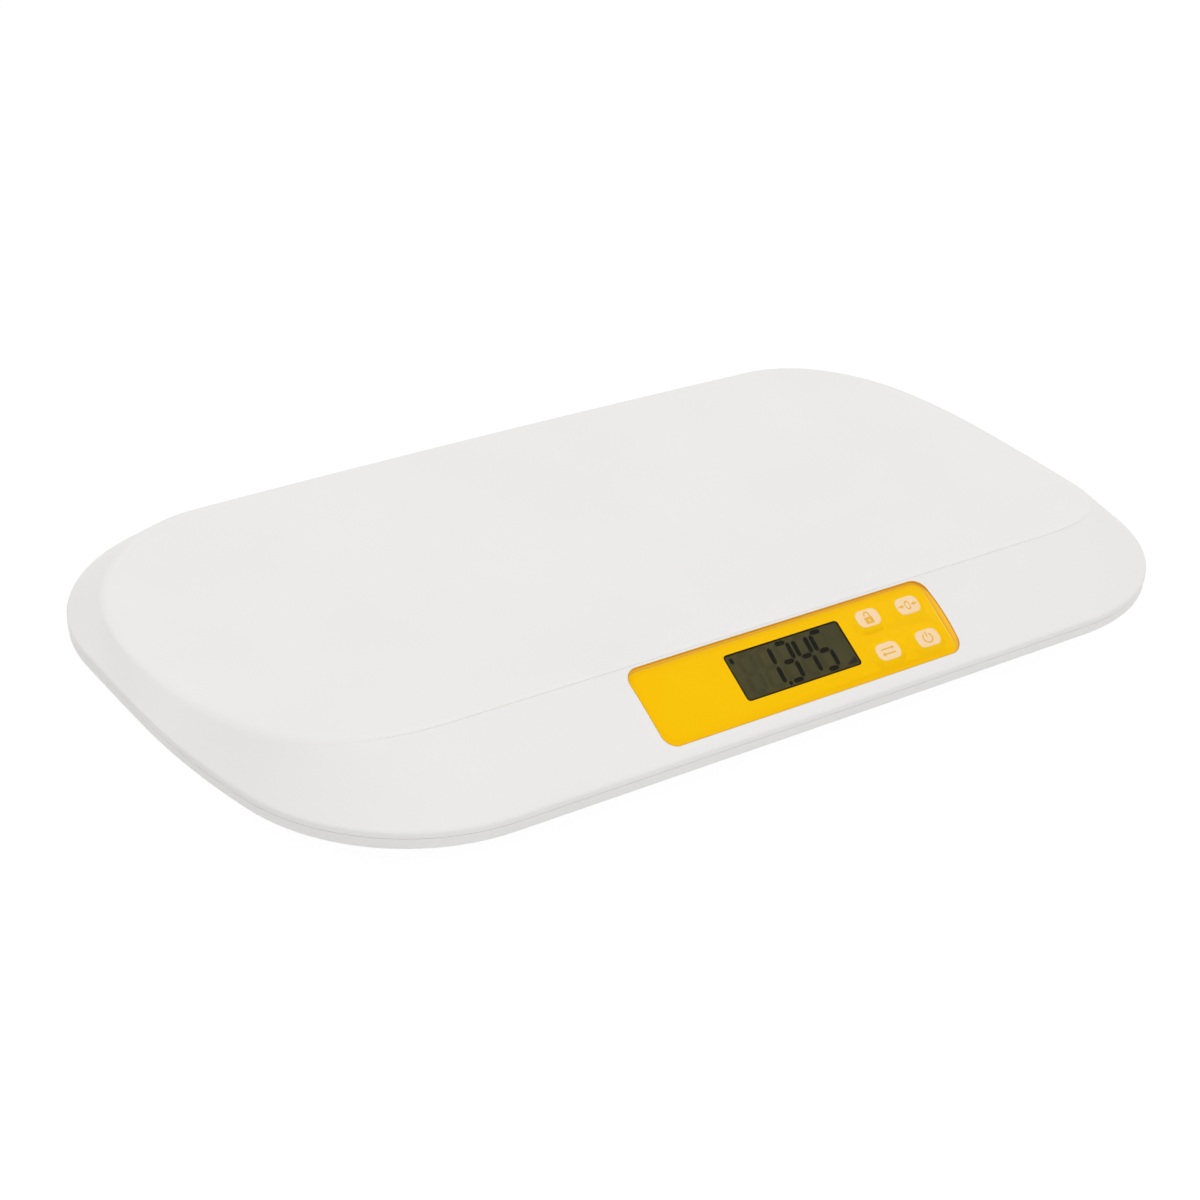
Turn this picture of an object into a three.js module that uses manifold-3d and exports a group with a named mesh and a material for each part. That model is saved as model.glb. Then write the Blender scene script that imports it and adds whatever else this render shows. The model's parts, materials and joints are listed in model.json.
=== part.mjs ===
// Digital baby weighing scale, as an assembly of separate pieces.
// Millimetres. X runs along the length, Y to the back, Z up. The origin lies on the surface that the
// scale stands on, under the middle of its outline. The display is on the front rim, at -Y.

import * as THREE from "three";
import { mergeVertices } from "three/addons/utils/BufferGeometryUtils.js";
import Module from "manifold-3d";

const wasm = await Module();
wasm.setup();

// Outline of the housing, seen from above
const LENGTH = 550;
const WIDTH = 330;
const CORNER_BACK = 106;
const CORNER_FRONT = 96;
const END_BOW_BACK_DEGREES = 0.6;
const END_BOW_FRONT_DEGREES = 11.6;
const SIDE_BOW_DEGREES = 0.2;

// Crease between the dish and the rims, seen from above
const END_RIM = 11.5;
const BACK_RIM = 30;
const FRONT_RIM = 45.5;
const CREASE_WAIST = 32;
const CREASE_CORNER_BACK = 83;
const CREASE_CORNER_FRONT = 72;
const CREASE_BOW_BACK_DEGREES = 18;
const CREASE_BOW_FRONT_DEGREES = 16;
const CREASE_SIDE_BOW_BACK_DEGREES = 1.15;
const CREASE_SIDE_BOW_FRONT_DEGREES = 0.35;

// Heights and walls of the housing
const STAND = 6;
const PAN_DEPTH = 10.25;
const RIM_BAND = 7.75;
const SKIRT = 3.1;
const DISH_LOW = 13.5;
const DISH_RADIUS = 612;
const DISH_CENTRE_Y = 23;
const WALL = 2.4;
const EDGE_ROUND = 1.4;
const EDGE_INSET = 0.5;
const RIM_INSET = 3.2;
const RIM_ROUND = 1.1;
const FLOOR_INSET = 30;

// Fits between pieces
const SEAT_GAP = 0.3;
const LOOSE_GAP = 0.4;
const OVERRUN = 1;

// Display panel, let into the front rim
const PANEL_LENGTH = 183;
const PANEL_CORNER = 8;
const PANEL_BOW_DEGREES = 8;
const PANEL_SIDE_BOW_DEGREES = 0.1;
const PANEL_SHIFT = 0.7;
const PANEL_LOWER_MARGIN = 6.2;
const PANEL_UPPER_MARGIN = 2.8;
const LENS_THICKNESS = 2;
const LENS_CHAMFER = 0.3;
const BED_MARGIN = 2.5;
const BED_THICKNESS = 2;

// Keys
const KEY_LENGTH = 13.6;
const KEY_WIDTH = 9.2;
const KEY_CORNER = 3.5;
const KEY_PROUD = 0.15;
const KEY_TRAVEL = 0.4;
const KEY_FLANGE = 1.2;
const KEY_STEM_RADIUS = 1.8;
const KEY_STEM = 0.8;
const KEY_INSET = 17.3;
const KEY_PITCH = 25.2;
const KEY_ROW_PITCH = 19.6;

// Parts behind the panel
const GLASS_LENGTH = 75;
const GLASS_WIDTH = 34;
const GLASS_THICKNESS = 2.8;
const GLASS_TO_KEYS = 7.3;
const GLASS_RISE = 0.9;
const HOLDER_WALL = 1.6;
const HOLDER_LEDGE = 2.5;
const HOLDER_LEDGE_THICKNESS = 1;
const STRIP_INSET = 6.5;
const STRIP_WIDTH = 2.2;
const BOARD_OVERHANG = 13;
const BOARD_MARGIN = 3;
const BOARD_THICKNESS = 1.6;
const BOARD_DEPTH = 11;
const BOARD_POST_INSET_X = 4;
const BOARD_POST_INSET_V = 4.5;
const BOARD_POST_RADIUS = 3;
const BOARD_SCREW_RADIUS = 0.9;
const BOARD_HEAD_RADIUS = 1.9;
const BOARD_HEAD = 1.3;
const BOARD_SCREW_REACH = 3.6;
const SWITCH_BODY = 6;
const SWITCH_HEIGHT = 2.8;
const SWITCH_PLUNGER_RADIUS = 1.7;
const CHIP_LENGTH = 12;
const CHIP_THICKNESS = 1.6;
const CHIP_SHIFT = 22;
const SOCKET_HEIGHT = 6;
const SOCKET_WIDTH = 5;
const SOCKET_PITCH = 6;
const SOCKET_INSET = 23;

// Feet and load cells
const FOOT_INSET_X = 80;
const FOOT_INSET_Y = 70;
const FOOT_TRAVEL = 0.6;
const PAD_RADIUS = 20;
const PAD_THICKNESS = 2;
const PAD_ROUND = 0.8;
const CUP_WALL = 1.8;
const CUP_FLOOR = 2;
const CUP_SKIRT = 1.1;
const CUP_LEDGE = 2.5;
const CUP_LEDGE_WIDTH = 4;
const CUP_FLANGE = 2;
const CUP_FLANGE_THICKNESS = 1.4;
const CELL_SIDE = 28;
const CELL_CORNER = 3;
const CELL_THICKNESS = 2;
const CELL_TONGUE = 9;
const CELL_SLOT = 2;
const CELL_EDGE = 3.5;
const WELL_COLLAR = 1.8;
const POST_RADIUS = 7;
const POST_CORE_RADIUS = 3.5;
const POST_FIN = 2;
const POST_TIP = 3;

// Housing screws and their columns
const END_SCREW_INSET = 50;
const SIDE_SCREW_INSET = 43;
const COLUMN_RADIUS = 5.4;
const COLUMN_HEIGHT = 14;
const COUNTERBORE_RADIUS = 3.7;
const COUNTERBORE_DEPTH = 8;
const SCREW_RADIUS = 1.5;
const SCREW_HEAD_RADIUS = 3.2;
const SCREW_HEAD = 2;
const SCREW_REACH = 10;
const BOSS_RADIUS = 4.2;

// Ribs and the tongue that locates the two shells
const RIB = 1.6;
const RIB_DEPTH = 6;
const FLOOR_RIB_HEIGHT = 5;
const TONGUE_THICKNESS = 1.5;
const TONGUE_HEIGHT = 1.5;
const TONGUE_ROOT = 4;

// Battery bay, door, cells and contacts
const CELL_COUNT = 3;
const BATTERY_RADIUS = 5.25;
const BATTERY_LENGTH = 43.5;
const BATTERY_NUB_RADIUS = 2.6;
const BATTERY_NUB = 1;
const BATTERY_ROUND = 0.6;
const BATTERY_PITCH = 11.2;
const BATTERY_TO_HINGE = 2;
const BAY_Y = 40;
const BAY_WALL = 2;
const BAY_HOOK_MARGIN = 4;
const BAY_LATCH_MARGIN = 6.5;
const DOOR_THICKNESS = 1.8;
const DOOR_RIB_HEIGHT = 0.6;
const DOOR_TAB_LENGTH = 14;
const DOOR_TAB_REACH = 5;
const DOOR_GRIP = 0.9;
const DOOR_GRIP_HEIGHT = 0.6;
const HOOK_LENGTH = 7;
const HOOK_REACH = 2.4;
const HOOK_THICKNESS = 1.5;
const HOOK_SHARE = 0.6;
const CONTACT_THICKNESS = 0.5;
const CONTACT_WIDTH = 8;
const CONTACT_HEIGHT = 8;
const SPRING_LENGTH = 5;
const SPRING_BASE_RADIUS = 3.2;
const SPRING_TIP_RADIUS = 1.8;
const SPRING_WIRE_RADIUS = 0.35;
const SPRING_TURNS = 3;
const DIMPLE_RADIUS = 2;

// Leads
const LEAD_RADIUS = 1;
const LEAD_RISE = 3.2;
const LEAD_START = 11;
const LEAD_RUN_SHARE = 0.45;
const LEAD_SLACK_SHARE = 0.2;
const LEAD_SPACING = 6;

// Fineness of the round shapes
const OUTLINE_STEPS = { end: 2, corner: 7, side: 2 };
const PANEL_STEPS = { end: 2, corner: 4, side: 1 };
const DISH_STEPS = 12;
const PAST_CREASE_SHARE = 1.25;
const INNER_EDGE_SHARE = 0.5;
const ARC_STEPS = 2;
const ROUND_STEPS = 18;
const SMALL_ROUND_STEPS = 10;
const LEAD_SIDES = 6;
const LEAD_STEP_LENGTH = 13;
const SPRING_SIDES = 5;
const SPRING_STEPS = 24;

// Heights worked out from the sizes above
const floorZ = STAND;
const floorTopZ = floorZ + WALL;
const rimZ = floorZ + PAN_DEPTH;
const partingZ = rimZ + RIM_BAND;
const edgeZ = partingZ + SKIRT;
const dishZ = partingZ + DISH_LOW;
const columnTopZ = floorZ + COLUMN_HEIGHT;
const screwSeatZ = floorZ + COUNTERBORE_DEPTH;

// The housing's two plan outlines: its own, and the crease round the dish
const creaseBackY = WIDTH / 2 - BACK_RIM;
const creaseFrontY = FRONT_RIM - WIDTH / 2;
const HOUSING = {
  halfLength: LENGTH / 2,
  middleY: 0,
  back: { width: WIDTH / 2, corner: CORNER_BACK, end: END_BOW_BACK_DEGREES, side: SIDE_BOW_DEGREES },
  front: { width: WIDTH / 2, corner: CORNER_FRONT, end: END_BOW_FRONT_DEGREES, side: SIDE_BOW_DEGREES },
};
const CREASE = {
  halfLength: LENGTH / 2 - END_RIM,
  middleY: CREASE_WAIST,
  back: {
    width: creaseBackY - CREASE_WAIST,
    corner: CREASE_CORNER_BACK,
    end: CREASE_BOW_BACK_DEGREES,
    side: CREASE_SIDE_BOW_BACK_DEGREES,
  },
  front: {
    width: CREASE_WAIST - creaseFrontY,
    corner: CREASE_CORNER_FRONT,
    end: CREASE_BOW_FRONT_DEGREES,
    side: CREASE_SIDE_BOW_FRONT_DEGREES,
  },
};

// One quarter of a rounded outline: a bowed end, a corner and a nearly straight side, as three arcs
// that meet without a kink. Their two large radii follow from the half sizes, the corner and the bows.
function quarter(halfLength, half, inset, steps) {
  const endBow = THREE.MathUtils.degToRad(half.end);
  const sideBow = THREE.MathUtils.degToRad(half.side);
  const endSine = Math.sin(endBow);
  const endCosine = Math.cos(endBow);
  const sideSine = Math.sin(sideBow);
  const sideCosine = Math.cos(sideBow);
  const alongX = halfLength - half.corner * (endCosine - sideSine);
  const alongY = half.width - half.corner * (sideCosine - endSine);
  const divisor = (1 - endCosine) * (1 - sideCosine) - endSine * sideSine;
  const endRadius = (alongX * (1 - sideCosine) - alongY * sideSine) / divisor;
  const sideRadius = (alongY * (1 - endCosine) - alongX * endSine) / divisor;
  const cornerX = halfLength - endRadius + (endRadius - half.corner) * endCosine;
  const cornerY = (endRadius - half.corner) * endSine;
  const arcs = [
    [halfLength - endRadius, 0, endRadius, 0, endBow, steps.end],
    [cornerX, cornerY, half.corner, endBow, Math.PI / 2 - sideBow, steps.corner],
    [0, half.width - sideRadius, sideRadius, Math.PI / 2 - sideBow, Math.PI / 2, steps.side],
  ];
  const points = [];
  for (const [centreX, centreY, radius, from, to, count] of arcs) {
    for (let i = 0; i < count; i += 1) {
      const angle = from + ((to - from) * i) / count;
      const reach = radius - inset;
      points.push([centreX + reach * Math.cos(angle), centreY + reach * Math.sin(angle)]);
    }
  }
  points.push([0, half.width - inset]);
  return points;
}

// A whole outline, anticlockwise from its right end, drawn in by an even inset
function outline(shape, inset, steps) {
  const back = quarter(shape.halfLength, shape.back, inset, steps);
  const front = quarter(shape.halfLength, shape.front, inset, steps);
  const last = back.length - 1;
  const points = [];
  for (let i = 0; i < last; i += 1) points.push([back[i][0], shape.middleY + back[i][1]]);
  for (let i = last; i > 0; i -= 1) points.push([-back[i][0], shape.middleY + back[i][1]]);
  for (let i = 0; i < last; i += 1) points.push([-front[i][0], shape.middleY - front[i][1]]);
  for (let i = last; i > 0; i -= 1) points.push([front[i][0], shape.middleY - front[i][1]]);
  return points.map(([x, y]) => new THREE.Vector2(x, y));
}

// Height of the dish: a trough with a circular section that runs along X
function dishHeight(y) {
  return dishZ + DISH_RADIUS - Math.sqrt(DISH_RADIUS ** 2 - (y - DISH_CENTRE_Y) ** 2);
}

// A closed skin over rings of equal count, capped by fans to the low and the high point
function loft(rings, low, high) {
  const positions = [];
  const face = (...corners) => corners.forEach((corner) => positions.push(...corner));
  const count = rings[0].length;
  const top = rings[rings.length - 1];
  for (let i = 0; i < count; i += 1) {
    const next = (i + 1) % count;
    face(low, rings[0][next], rings[0][i]);
    for (let k = 1; k < rings.length; k += 1) {
      face(rings[k - 1][i], rings[k - 1][next], rings[k][next]);
      face(rings[k - 1][i], rings[k][next], rings[k][i]);
    }
    face(top[i], top[next], high);
  }
  const geometry = new THREE.BufferGeometry();
  geometry.setAttribute("position", new THREE.Float32BufferAttribute(positions, 3));
  return geometry;
}

function levelRing(shape, inset, z) {
  return outline(shape, inset, OUTLINE_STEPS).map((point) => [point.x, point.y, z]);
}

// A block whose top is the dish's arc, drawn down by a wall
function underDish(wall, footZ) {
  const profile = [];
  for (let i = 0; i <= DISH_STEPS; i += 1) {
    const y = WIDTH * (i / DISH_STEPS) - WIDTH / 2;
    profile.push(new THREE.Vector2(y, dishHeight(y) - wall));
  }
  profile.push(new THREE.Vector2(WIDTH / 2, footZ), new THREE.Vector2(-WIDTH / 2, footZ));
  const geometry = prism(new THREE.Shape(profile), -LENGTH / 2, LENGTH / 2);
  const alongX = new THREE.Matrix4().makeBasis(
    new THREE.Vector3(0, 1, 0),
    new THREE.Vector3(0, 0, 1),
    new THREE.Vector3(1, 0, 0),
  );
  return geometry.applyMatrix4(alongX);
}

// The housing's upper form, drawn in by a wall: skirt, rounded edge and rims that run past the
// crease, cut off by the dish
function dome(wall, footZ) {
  const innerDrop = wall * INNER_EDGE_SHARE;
  const skirtInset = wall + Math.min(wall, EDGE_INSET);
  const edge = levelRing(HOUSING, wall + EDGE_INSET, edgeZ - innerDrop);
  const pastCrease = outline(CREASE, 0, OUTLINE_STEPS).map((point, i) => {
    const crest = new THREE.Vector3(point.x, point.y, dishHeight(point.y) - wall);
    return new THREE.Vector3(...edge[i]).lerp(crest, PAST_CREASE_SHARE).toArray();
  });
  const rings = [
    levelRing(HOUSING, skirtInset, footZ),
    levelRing(HOUSING, skirtInset, edgeZ - EDGE_ROUND - innerDrop),
    edge,
    pastCrease,
  ];
  const rims = loft(rings, [0, 0, footZ], [0, CREASE_WAIST, dishHeight(creaseFrontY)]);
  return solid(rims).intersect(solid(underDish(wall, footZ)));
}

// The housing's lower form, drawn in by a wall: floor, sloping pan and rim band up to the top height
function pan(wall, topZ) {
  const rings = [
    levelRing(HOUSING, FLOOR_INSET + wall, floorZ + wall),
    levelRing(HOUSING, RIM_INSET + wall, rimZ + wall),
    levelRing(HOUSING, RIM_INSET - RIM_ROUND + wall, rimZ + RIM_ROUND + wall),
    levelRing(HOUSING, wall, topZ),
  ];
  return loft(rings, [0, 0, floorZ + wall], [0, 0, topZ]);
}

// A block of the housing's plan outline between two heights
function slab(inset, low, high) {
  return loft([levelRing(HOUSING, inset, low), levelRing(HOUSING, inset, high)], [0, 0, low], [0, 0, high]);
}

function shapeOf(points, holes = []) {
  const shape = new THREE.Shape(points);
  shape.holes = holes.map((hole) => new THREE.Path(hole));
  return shape;
}

function roundedRectangle(length, width, corner) {
  const x = length / 2 - corner;
  const y = width / 2 - corner;
  const quarterTurn = Math.PI / 2;
  const path = new THREE.Path();
  const corners = [[x, y], [-x, y], [-x, -y], [x, -y]];
  corners.forEach(([centreX, centreY], i) => {
    path.absarc(centreX, centreY, corner, i * quarterTurn, (i + 1) * quarterTurn, false);
  });
  const points = path.getPoints(ARC_STEPS);
  return points.filter((point, i) => i === 0 || point.distanceTo(points[i - 1]) > corner / ROUND_STEPS);
}

function rectangle(left, right, low, high) {
  return [
    new THREE.Vector2(left, low),
    new THREE.Vector2(right, low),
    new THREE.Vector2(right, high),
    new THREE.Vector2(left, high),
  ];
}

function moved(points, x, y) {
  return points.map((point) => new THREE.Vector2(point.x + x, point.y + y));
}

function prism(shape, low, high) {
  const geometry = new THREE.ExtrudeGeometry(shape, { depth: high - low, bevelEnabled: false });
  return geometry.translate(0, 0, low);
}

function block(left, right, front, back, low, high) {
  const geometry = new THREE.BoxGeometry(right - left, back - front, high - low);
  return geometry.translate((left + right) / 2, (front + back) / 2, (low + high) / 2);
}

function rod(radius, low, high, steps = SMALL_ROUND_STEPS) {
  const geometry = new THREE.CylinderGeometry(radius, radius, high - low, steps);
  return geometry.rotateX(Math.PI / 2).translate(0, 0, (low + high) / 2);
}

// A turned piece round Z from a profile of [radius, height] pairs that rises on its outside
function turned(profile, steps = ROUND_STEPS) {
  const points = profile.map(([radius, height]) => new THREE.Vector2(radius, height));
  return new THREE.LatheGeometry(points, steps).rotateX(Math.PI / 2);
}

// A closed mesh as a solid that can be joined and cut
function solid(geometry) {
  const bare = geometry.clone();
  bare.deleteAttribute("normal");
  bare.deleteAttribute("uv");
  const merged = mergeVertices(bare);
  const corners = merged.index.array;
  const triangles = [];
  for (let i = 0; i < corners.length; i += 3) {
    const [a, b, c] = corners.slice(i, i + 3);
    if (a !== b && b !== c && c !== a) triangles.push(a, b, c);
  }
  return new wasm.Manifold(new wasm.Mesh({
    numProp: 3,
    vertProperties: Float32Array.from(merged.attributes.position.array),
    triVerts: Uint32Array.from(triangles),
  }));
}

function surface(body) {
  const { vertProperties, triVerts } = body.getMesh();
  const geometry = new THREE.BufferGeometry();
  geometry.setAttribute("position", new THREE.BufferAttribute(vertProperties, 3));
  geometry.setIndex(new THREE.BufferAttribute(triVerts, 1));
  geometry.computeVertexNormals();
  return geometry;
}

function joined(geometries) {
  return geometries.map(solid).reduce((whole, piece) => whole.add(piece));
}

function finish(color, roughness, metalness = 0) {
  return new THREE.MeshStandardMaterial({ color, roughness, metalness });
}

const FINISHES = {
  whiteShell: () => finish("#eeeeec", 0.42),
  yellowLens: () => finish("#f8c102", 0.08),
  displayGlass: () => finish("#47452f", 0.15),
  keyRubber: () => finish("#fbd9ae", 0.5),
  blackPlastic: () => finish("#2b2b2d", 0.55),
  contactRubber: () => finish("#b9b6ad", 0.6),
  circuitBoard: () => finish("#2c6b3f", 0.5),
  chipEpoxy: () => finish("#161616", 0.35),
  socketNylon: () => finish("#efe9d8", 0.5),
  platedSteel: () => finish("#c9ccd0", 0.3, 1),
  springSteel: () => finish("#b7bbc0", 0.35, 1),
  footRubber: () => finish("#8f9193", 0.85),
  cellWrap: () => finish("#2f6f4f", 0.35),
  leadSheath: () => finish("#d8d8d6", 0.5),
};

const scale = new THREE.Group();

function node(name, geometry, material, parent = scale) {
  const mesh = new THREE.Mesh(geometry, material);
  mesh.name = name;
  parent.add(mesh);
  return mesh;
}

// Frame of the front rim's slope: its X is the row's, its Y climbs the slope from the rim's lower
// edge, and its Z points out of the slope
const slopeFoot = new THREE.Vector3(0, EDGE_INSET - WIDTH / 2, edgeZ);
const slopeRise = dishHeight(creaseFrontY) - edgeZ;
const slopeRun = creaseFrontY - slopeFoot.y;
const slopeAngle = Math.atan2(slopeRise, slopeRun);
const slope = new THREE.Group();
slope.position.copy(slopeFoot);
slope.rotation.x = slopeAngle;
slope.updateMatrix();
scale.add(slope);

function onSlope(geometry) {
  return geometry.applyMatrix4(slope.matrix);
}

// Levels below the slope's surface
const lensBack = -LENS_THICKNESS;
const bedFace = lensBack - SEAT_GAP;
const bedBack = bedFace - BED_THICKNESS;
const underBed = bedBack - SEAT_GAP;
const glassBack = bedFace - GLASS_THICKNESS;
const boardFace = -BOARD_DEPTH;
const boardBack = boardFace - BOARD_THICKNESS;
const behindBed = boardFace + SEAT_GAP;
const keyFlangeBack = underBed - KEY_FLANGE;
const keyStemBack = keyFlangeBack - KEY_STEM;
const plungerFace = keyStemBack - KEY_TRAVEL - SEAT_GAP;

// Places on the slope, counted back from the panel's right end
const panelWidth = Math.hypot(slopeRise, slopeRun) - PANEL_LOWER_MARGIN - PANEL_UPPER_MARGIN;
const panelV = PANEL_LOWER_MARGIN + panelWidth / 2;
const panelLeft = PANEL_SHIFT - PANEL_LENGTH / 2;
const panelRight = PANEL_SHIFT + PANEL_LENGTH / 2;
const keyColumns = [panelRight - KEY_INSET - KEY_PITCH, panelRight - KEY_INSET];
const keyRows = [panelV - KEY_ROW_PITCH / 2, panelV + KEY_ROW_PITCH / 2];
const glassX = keyColumns[0] - KEY_LENGTH / 2 - GLASS_TO_KEYS - GLASS_LENGTH / 2;
const glassV = panelV + GLASS_RISE;
const boardLeft = glassX - GLASS_LENGTH / 2 - BOARD_OVERHANG;
const boardRight = panelRight - SEAT_GAP;
const boardLow = panelV - panelWidth / 2 + BOARD_MARGIN;
const boardHigh = panelV + panelWidth / 2 - BOARD_MARGIN;
const socketLeftX = boardLeft + SOCKET_INSET;
const socketRightX = boardRight - SOCKET_INSET;
const panelHalf = {
  width: panelWidth / 2,
  corner: PANEL_CORNER,
  end: PANEL_BOW_DEGREES,
  side: PANEL_SIDE_BOW_DEGREES,
};
const PANEL = { halfLength: PANEL_LENGTH / 2, middleY: 0, back: panelHalf, front: panelHalf };

const boardPosts = [];
for (const x of [boardLeft + BOARD_POST_INSET_X, boardRight - BOARD_POST_INSET_X]) {
  for (const v of [boardLow + BOARD_POST_INSET_V, boardHigh - BOARD_POST_INSET_V]) {
    boardPosts.push([x, v]);
  }
}

const keys = [
  { name: "lock", x: keyColumns[0], v: keyRows[1] },
  { name: "zero", x: keyColumns[1], v: keyRows[1] },
  { name: "unit", x: keyColumns[0], v: keyRows[0] },
  { name: "power", x: keyColumns[1], v: keyRows[0] },
];

const footX = LENGTH / 2 - FOOT_INSET_X;
const footY = WIDTH / 2 - FOOT_INSET_Y;
const feet = [
  { name: "front_left", side: -1, x: -footX, y: -footY },
  { name: "front_right", side: 1, x: footX, y: -footY },
  { name: "back_left", side: -1, x: -footX, y: footY },
  { name: "back_right", side: 1, x: footX, y: footY },
];

const endScrewX = LENGTH / 2 - END_SCREW_INSET;
const ribPitch = endScrewX / 3;
const sideScrewX = 2 * ribPitch;
const sideScrewY = WIDTH / 2 - SIDE_SCREW_INSET;
const housingScrews = [
  { name: "left", x: -endScrewX, y: 0 },
  { name: "right", x: endScrewX, y: 0 },
  { name: "back_left", x: -sideScrewX, y: sideScrewY },
  { name: "back_middle", x: 0, y: sideScrewY },
  { name: "back_right", x: sideScrewX, y: sideScrewY },
  { name: "front_left", x: -sideScrewX, y: -sideScrewY },
  { name: "front_middle", x: 0, y: -footY },
  { name: "front_right", x: sideScrewX, y: -sideScrewY },
];

// Levels of a foot, from the surface up
const cupFloorZ = PAD_THICKNESS + SEAT_GAP;
const cupInsideZ = cupFloorZ + CUP_FLOOR;
const cellZ = cupInsideZ + CUP_LEDGE + SEAT_GAP;
const cellTopZ = cellZ + CELL_THICKNESS;
const flangeZ = floorTopZ + SEAT_GAP;
const cupTopZ = flangeZ + CUP_FLANGE_THICKNESS;
const cupRadius = PAD_RADIUS + SEAT_GAP + CUP_WALL;
const wellRadius = cupRadius + LOOSE_GAP;
const collarRadius = cupRadius + CUP_FLANGE + LOOSE_GAP + SEAT_GAP;
const collarTopZ = floorTopZ + FLOOR_RIB_HEIGHT;
const postFootZ = cellTopZ + FOOT_TRAVEL + SEAT_GAP;

// Sizes of the battery bay
const firstCellY = BAY_Y - (CELL_COUNT * BATTERY_PITCH) / 2;
const bayFrontY = firstCellY - BATTERY_TO_HINGE;
const bayBackY = BAY_Y + (CELL_COUNT * BATTERY_PITCH) / 2;
const doorTopZ = floorZ + DOOR_THICKNESS;
const batteryAxisZ = doorTopZ + DOOR_RIB_HEIGHT + SEAT_GAP + BATTERY_RADIUS;
const bayRoofZ = batteryAxisZ + BATTERY_RADIUS + LOOSE_GAP;
const contactGap = CONTACT_THICKNESS + SEAT_GAP;
const bayHalf = (BATTERY_LENGTH + BATTERY_NUB + SPRING_LENGTH + SEAT_GAP) / 2 + contactGap + SEAT_GAP;

// Ribs on a grid through the screw columns and the feet, as blocks that are cut to the shell's form
function ribGrid(low, high) {
  const blocks = [];
  for (let i = -3; i <= 3; i += 1) {
    const x = i * ribPitch;
    blocks.push(block(x - RIB / 2, x + RIB / 2, -WIDTH / 2, WIDTH / 2, low, high));
  }
  for (const y of [-footY, 0, footY]) {
    blocks.push(block(-LENGTH / 2, LENGTH / 2, y - RIB / 2, y + RIB / 2, low, high));
  }
  return joined(blocks);
}

// Post over a load cell: two crossed fins round a core whose tip presses on the cell's tongue
function footPost(foot, top) {
  const finZ = postFootZ + POST_TIP;
  const post = joined([
    rod(POST_CORE_RADIUS, postFootZ, top),
    block(-POST_RADIUS, POST_RADIUS, -POST_FIN / 2, POST_FIN / 2, finZ, top),
    block(-POST_FIN / 2, POST_FIN / 2, -POST_RADIUS, POST_RADIUS, finZ, top),
  ]);
  return post.translate([foot.x, foot.y, 0]);
}

function panelOutline(clearance) {
  return moved(outline(PANEL, -clearance, PANEL_STEPS), PANEL_SHIFT, panelV);
}

function keyOutline(key, growth) {
  const grown = roundedRectangle(KEY_LENGTH + 2 * growth, KEY_WIDTH + 2 * growth, KEY_CORNER + growth);
  return moved(grown, key.x, key.v);
}

// Upper shell: dish, rims and skirt, with the panel's recess and bed, board posts, foot posts,
// screw bosses and ribs moulded under it
function topShell() {
  const roof = dishHeight(creaseFrontY);
  const core = dome(WALL / 2, 0);

  const bedLeft = panelLeft - BED_MARGIN;
  const bedRight = panelRight + BED_MARGIN;
  const bedLow = PANEL_LOWER_MARGIN - BED_MARGIN;
  const bedHigh = PANEL_LOWER_MARGIN + panelWidth + BED_MARGIN;
  const bed = solid(onSlope(block(bedLeft, bedRight, bedLow, bedHigh, bedBack, 0)));

  const ribs = ribGrid(dishZ - WALL - RIB_DEPTH, roof)
    .intersect(core)
    .subtract(solid(onSlope(block(bedLeft, bedRight, 0, bedHigh, -roof, 0))));

  let inside = bed.add(ribs);
  for (const foot of feet) inside = inside.add(footPost(foot, roof));
  for (const screw of housingScrews) {
    const boss = rod(BOSS_RADIUS, columnTopZ + SEAT_GAP, roof).translate(screw.x, screw.y, 0);
    inside = inside.add(solid(boss));
  }
  inside = inside.intersect(core);
  for (const [x, v] of boardPosts) {
    inside = inside.add(solid(onSlope(rod(BOARD_POST_RADIUS, behindBed, bedFace).translate(x, v, 0))));
  }

  const glassHalfX = GLASS_LENGTH / 2 + SEAT_GAP;
  const glassHalfV = GLASS_WIDTH / 2 + SEAT_GAP;
  const cuts = [
    onSlope(prism(shapeOf(panelOutline(SEAT_GAP)), bedFace, OVERRUN)),
    onSlope(block(
      glassX - glassHalfX, glassX + glassHalfX, glassV - glassHalfV, glassV + glassHalfV,
      bedBack - OVERRUN, bedFace + OVERRUN,
    )),
  ];
  for (const key of keys) {
    cuts.push(onSlope(prism(shapeOf(keyOutline(key, SEAT_GAP)), bedBack - OVERRUN, bedFace + OVERRUN)));
  }
  for (const [x, v] of boardPosts) {
    const bore = rod(BOARD_SCREW_RADIUS + SEAT_GAP, behindBed - OVERRUN, behindBed + BOARD_SCREW_REACH);
    cuts.push(onSlope(bore.translate(x, v, 0)));
  }
  for (const screw of housingScrews) {
    const depth = columnTopZ + SCREW_REACH + SEAT_GAP;
    cuts.push(rod(SCREW_RADIUS + SEAT_GAP, columnTopZ, depth).translate(screw.x, screw.y, 0));
  }

  const skin = dome(0, partingZ).subtract(dome(WALL, partingZ - OVERRUN));
  return surface(cuts.map(solid).reduce((whole, cut) => whole.subtract(cut), skin.add(inside)));
}

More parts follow.
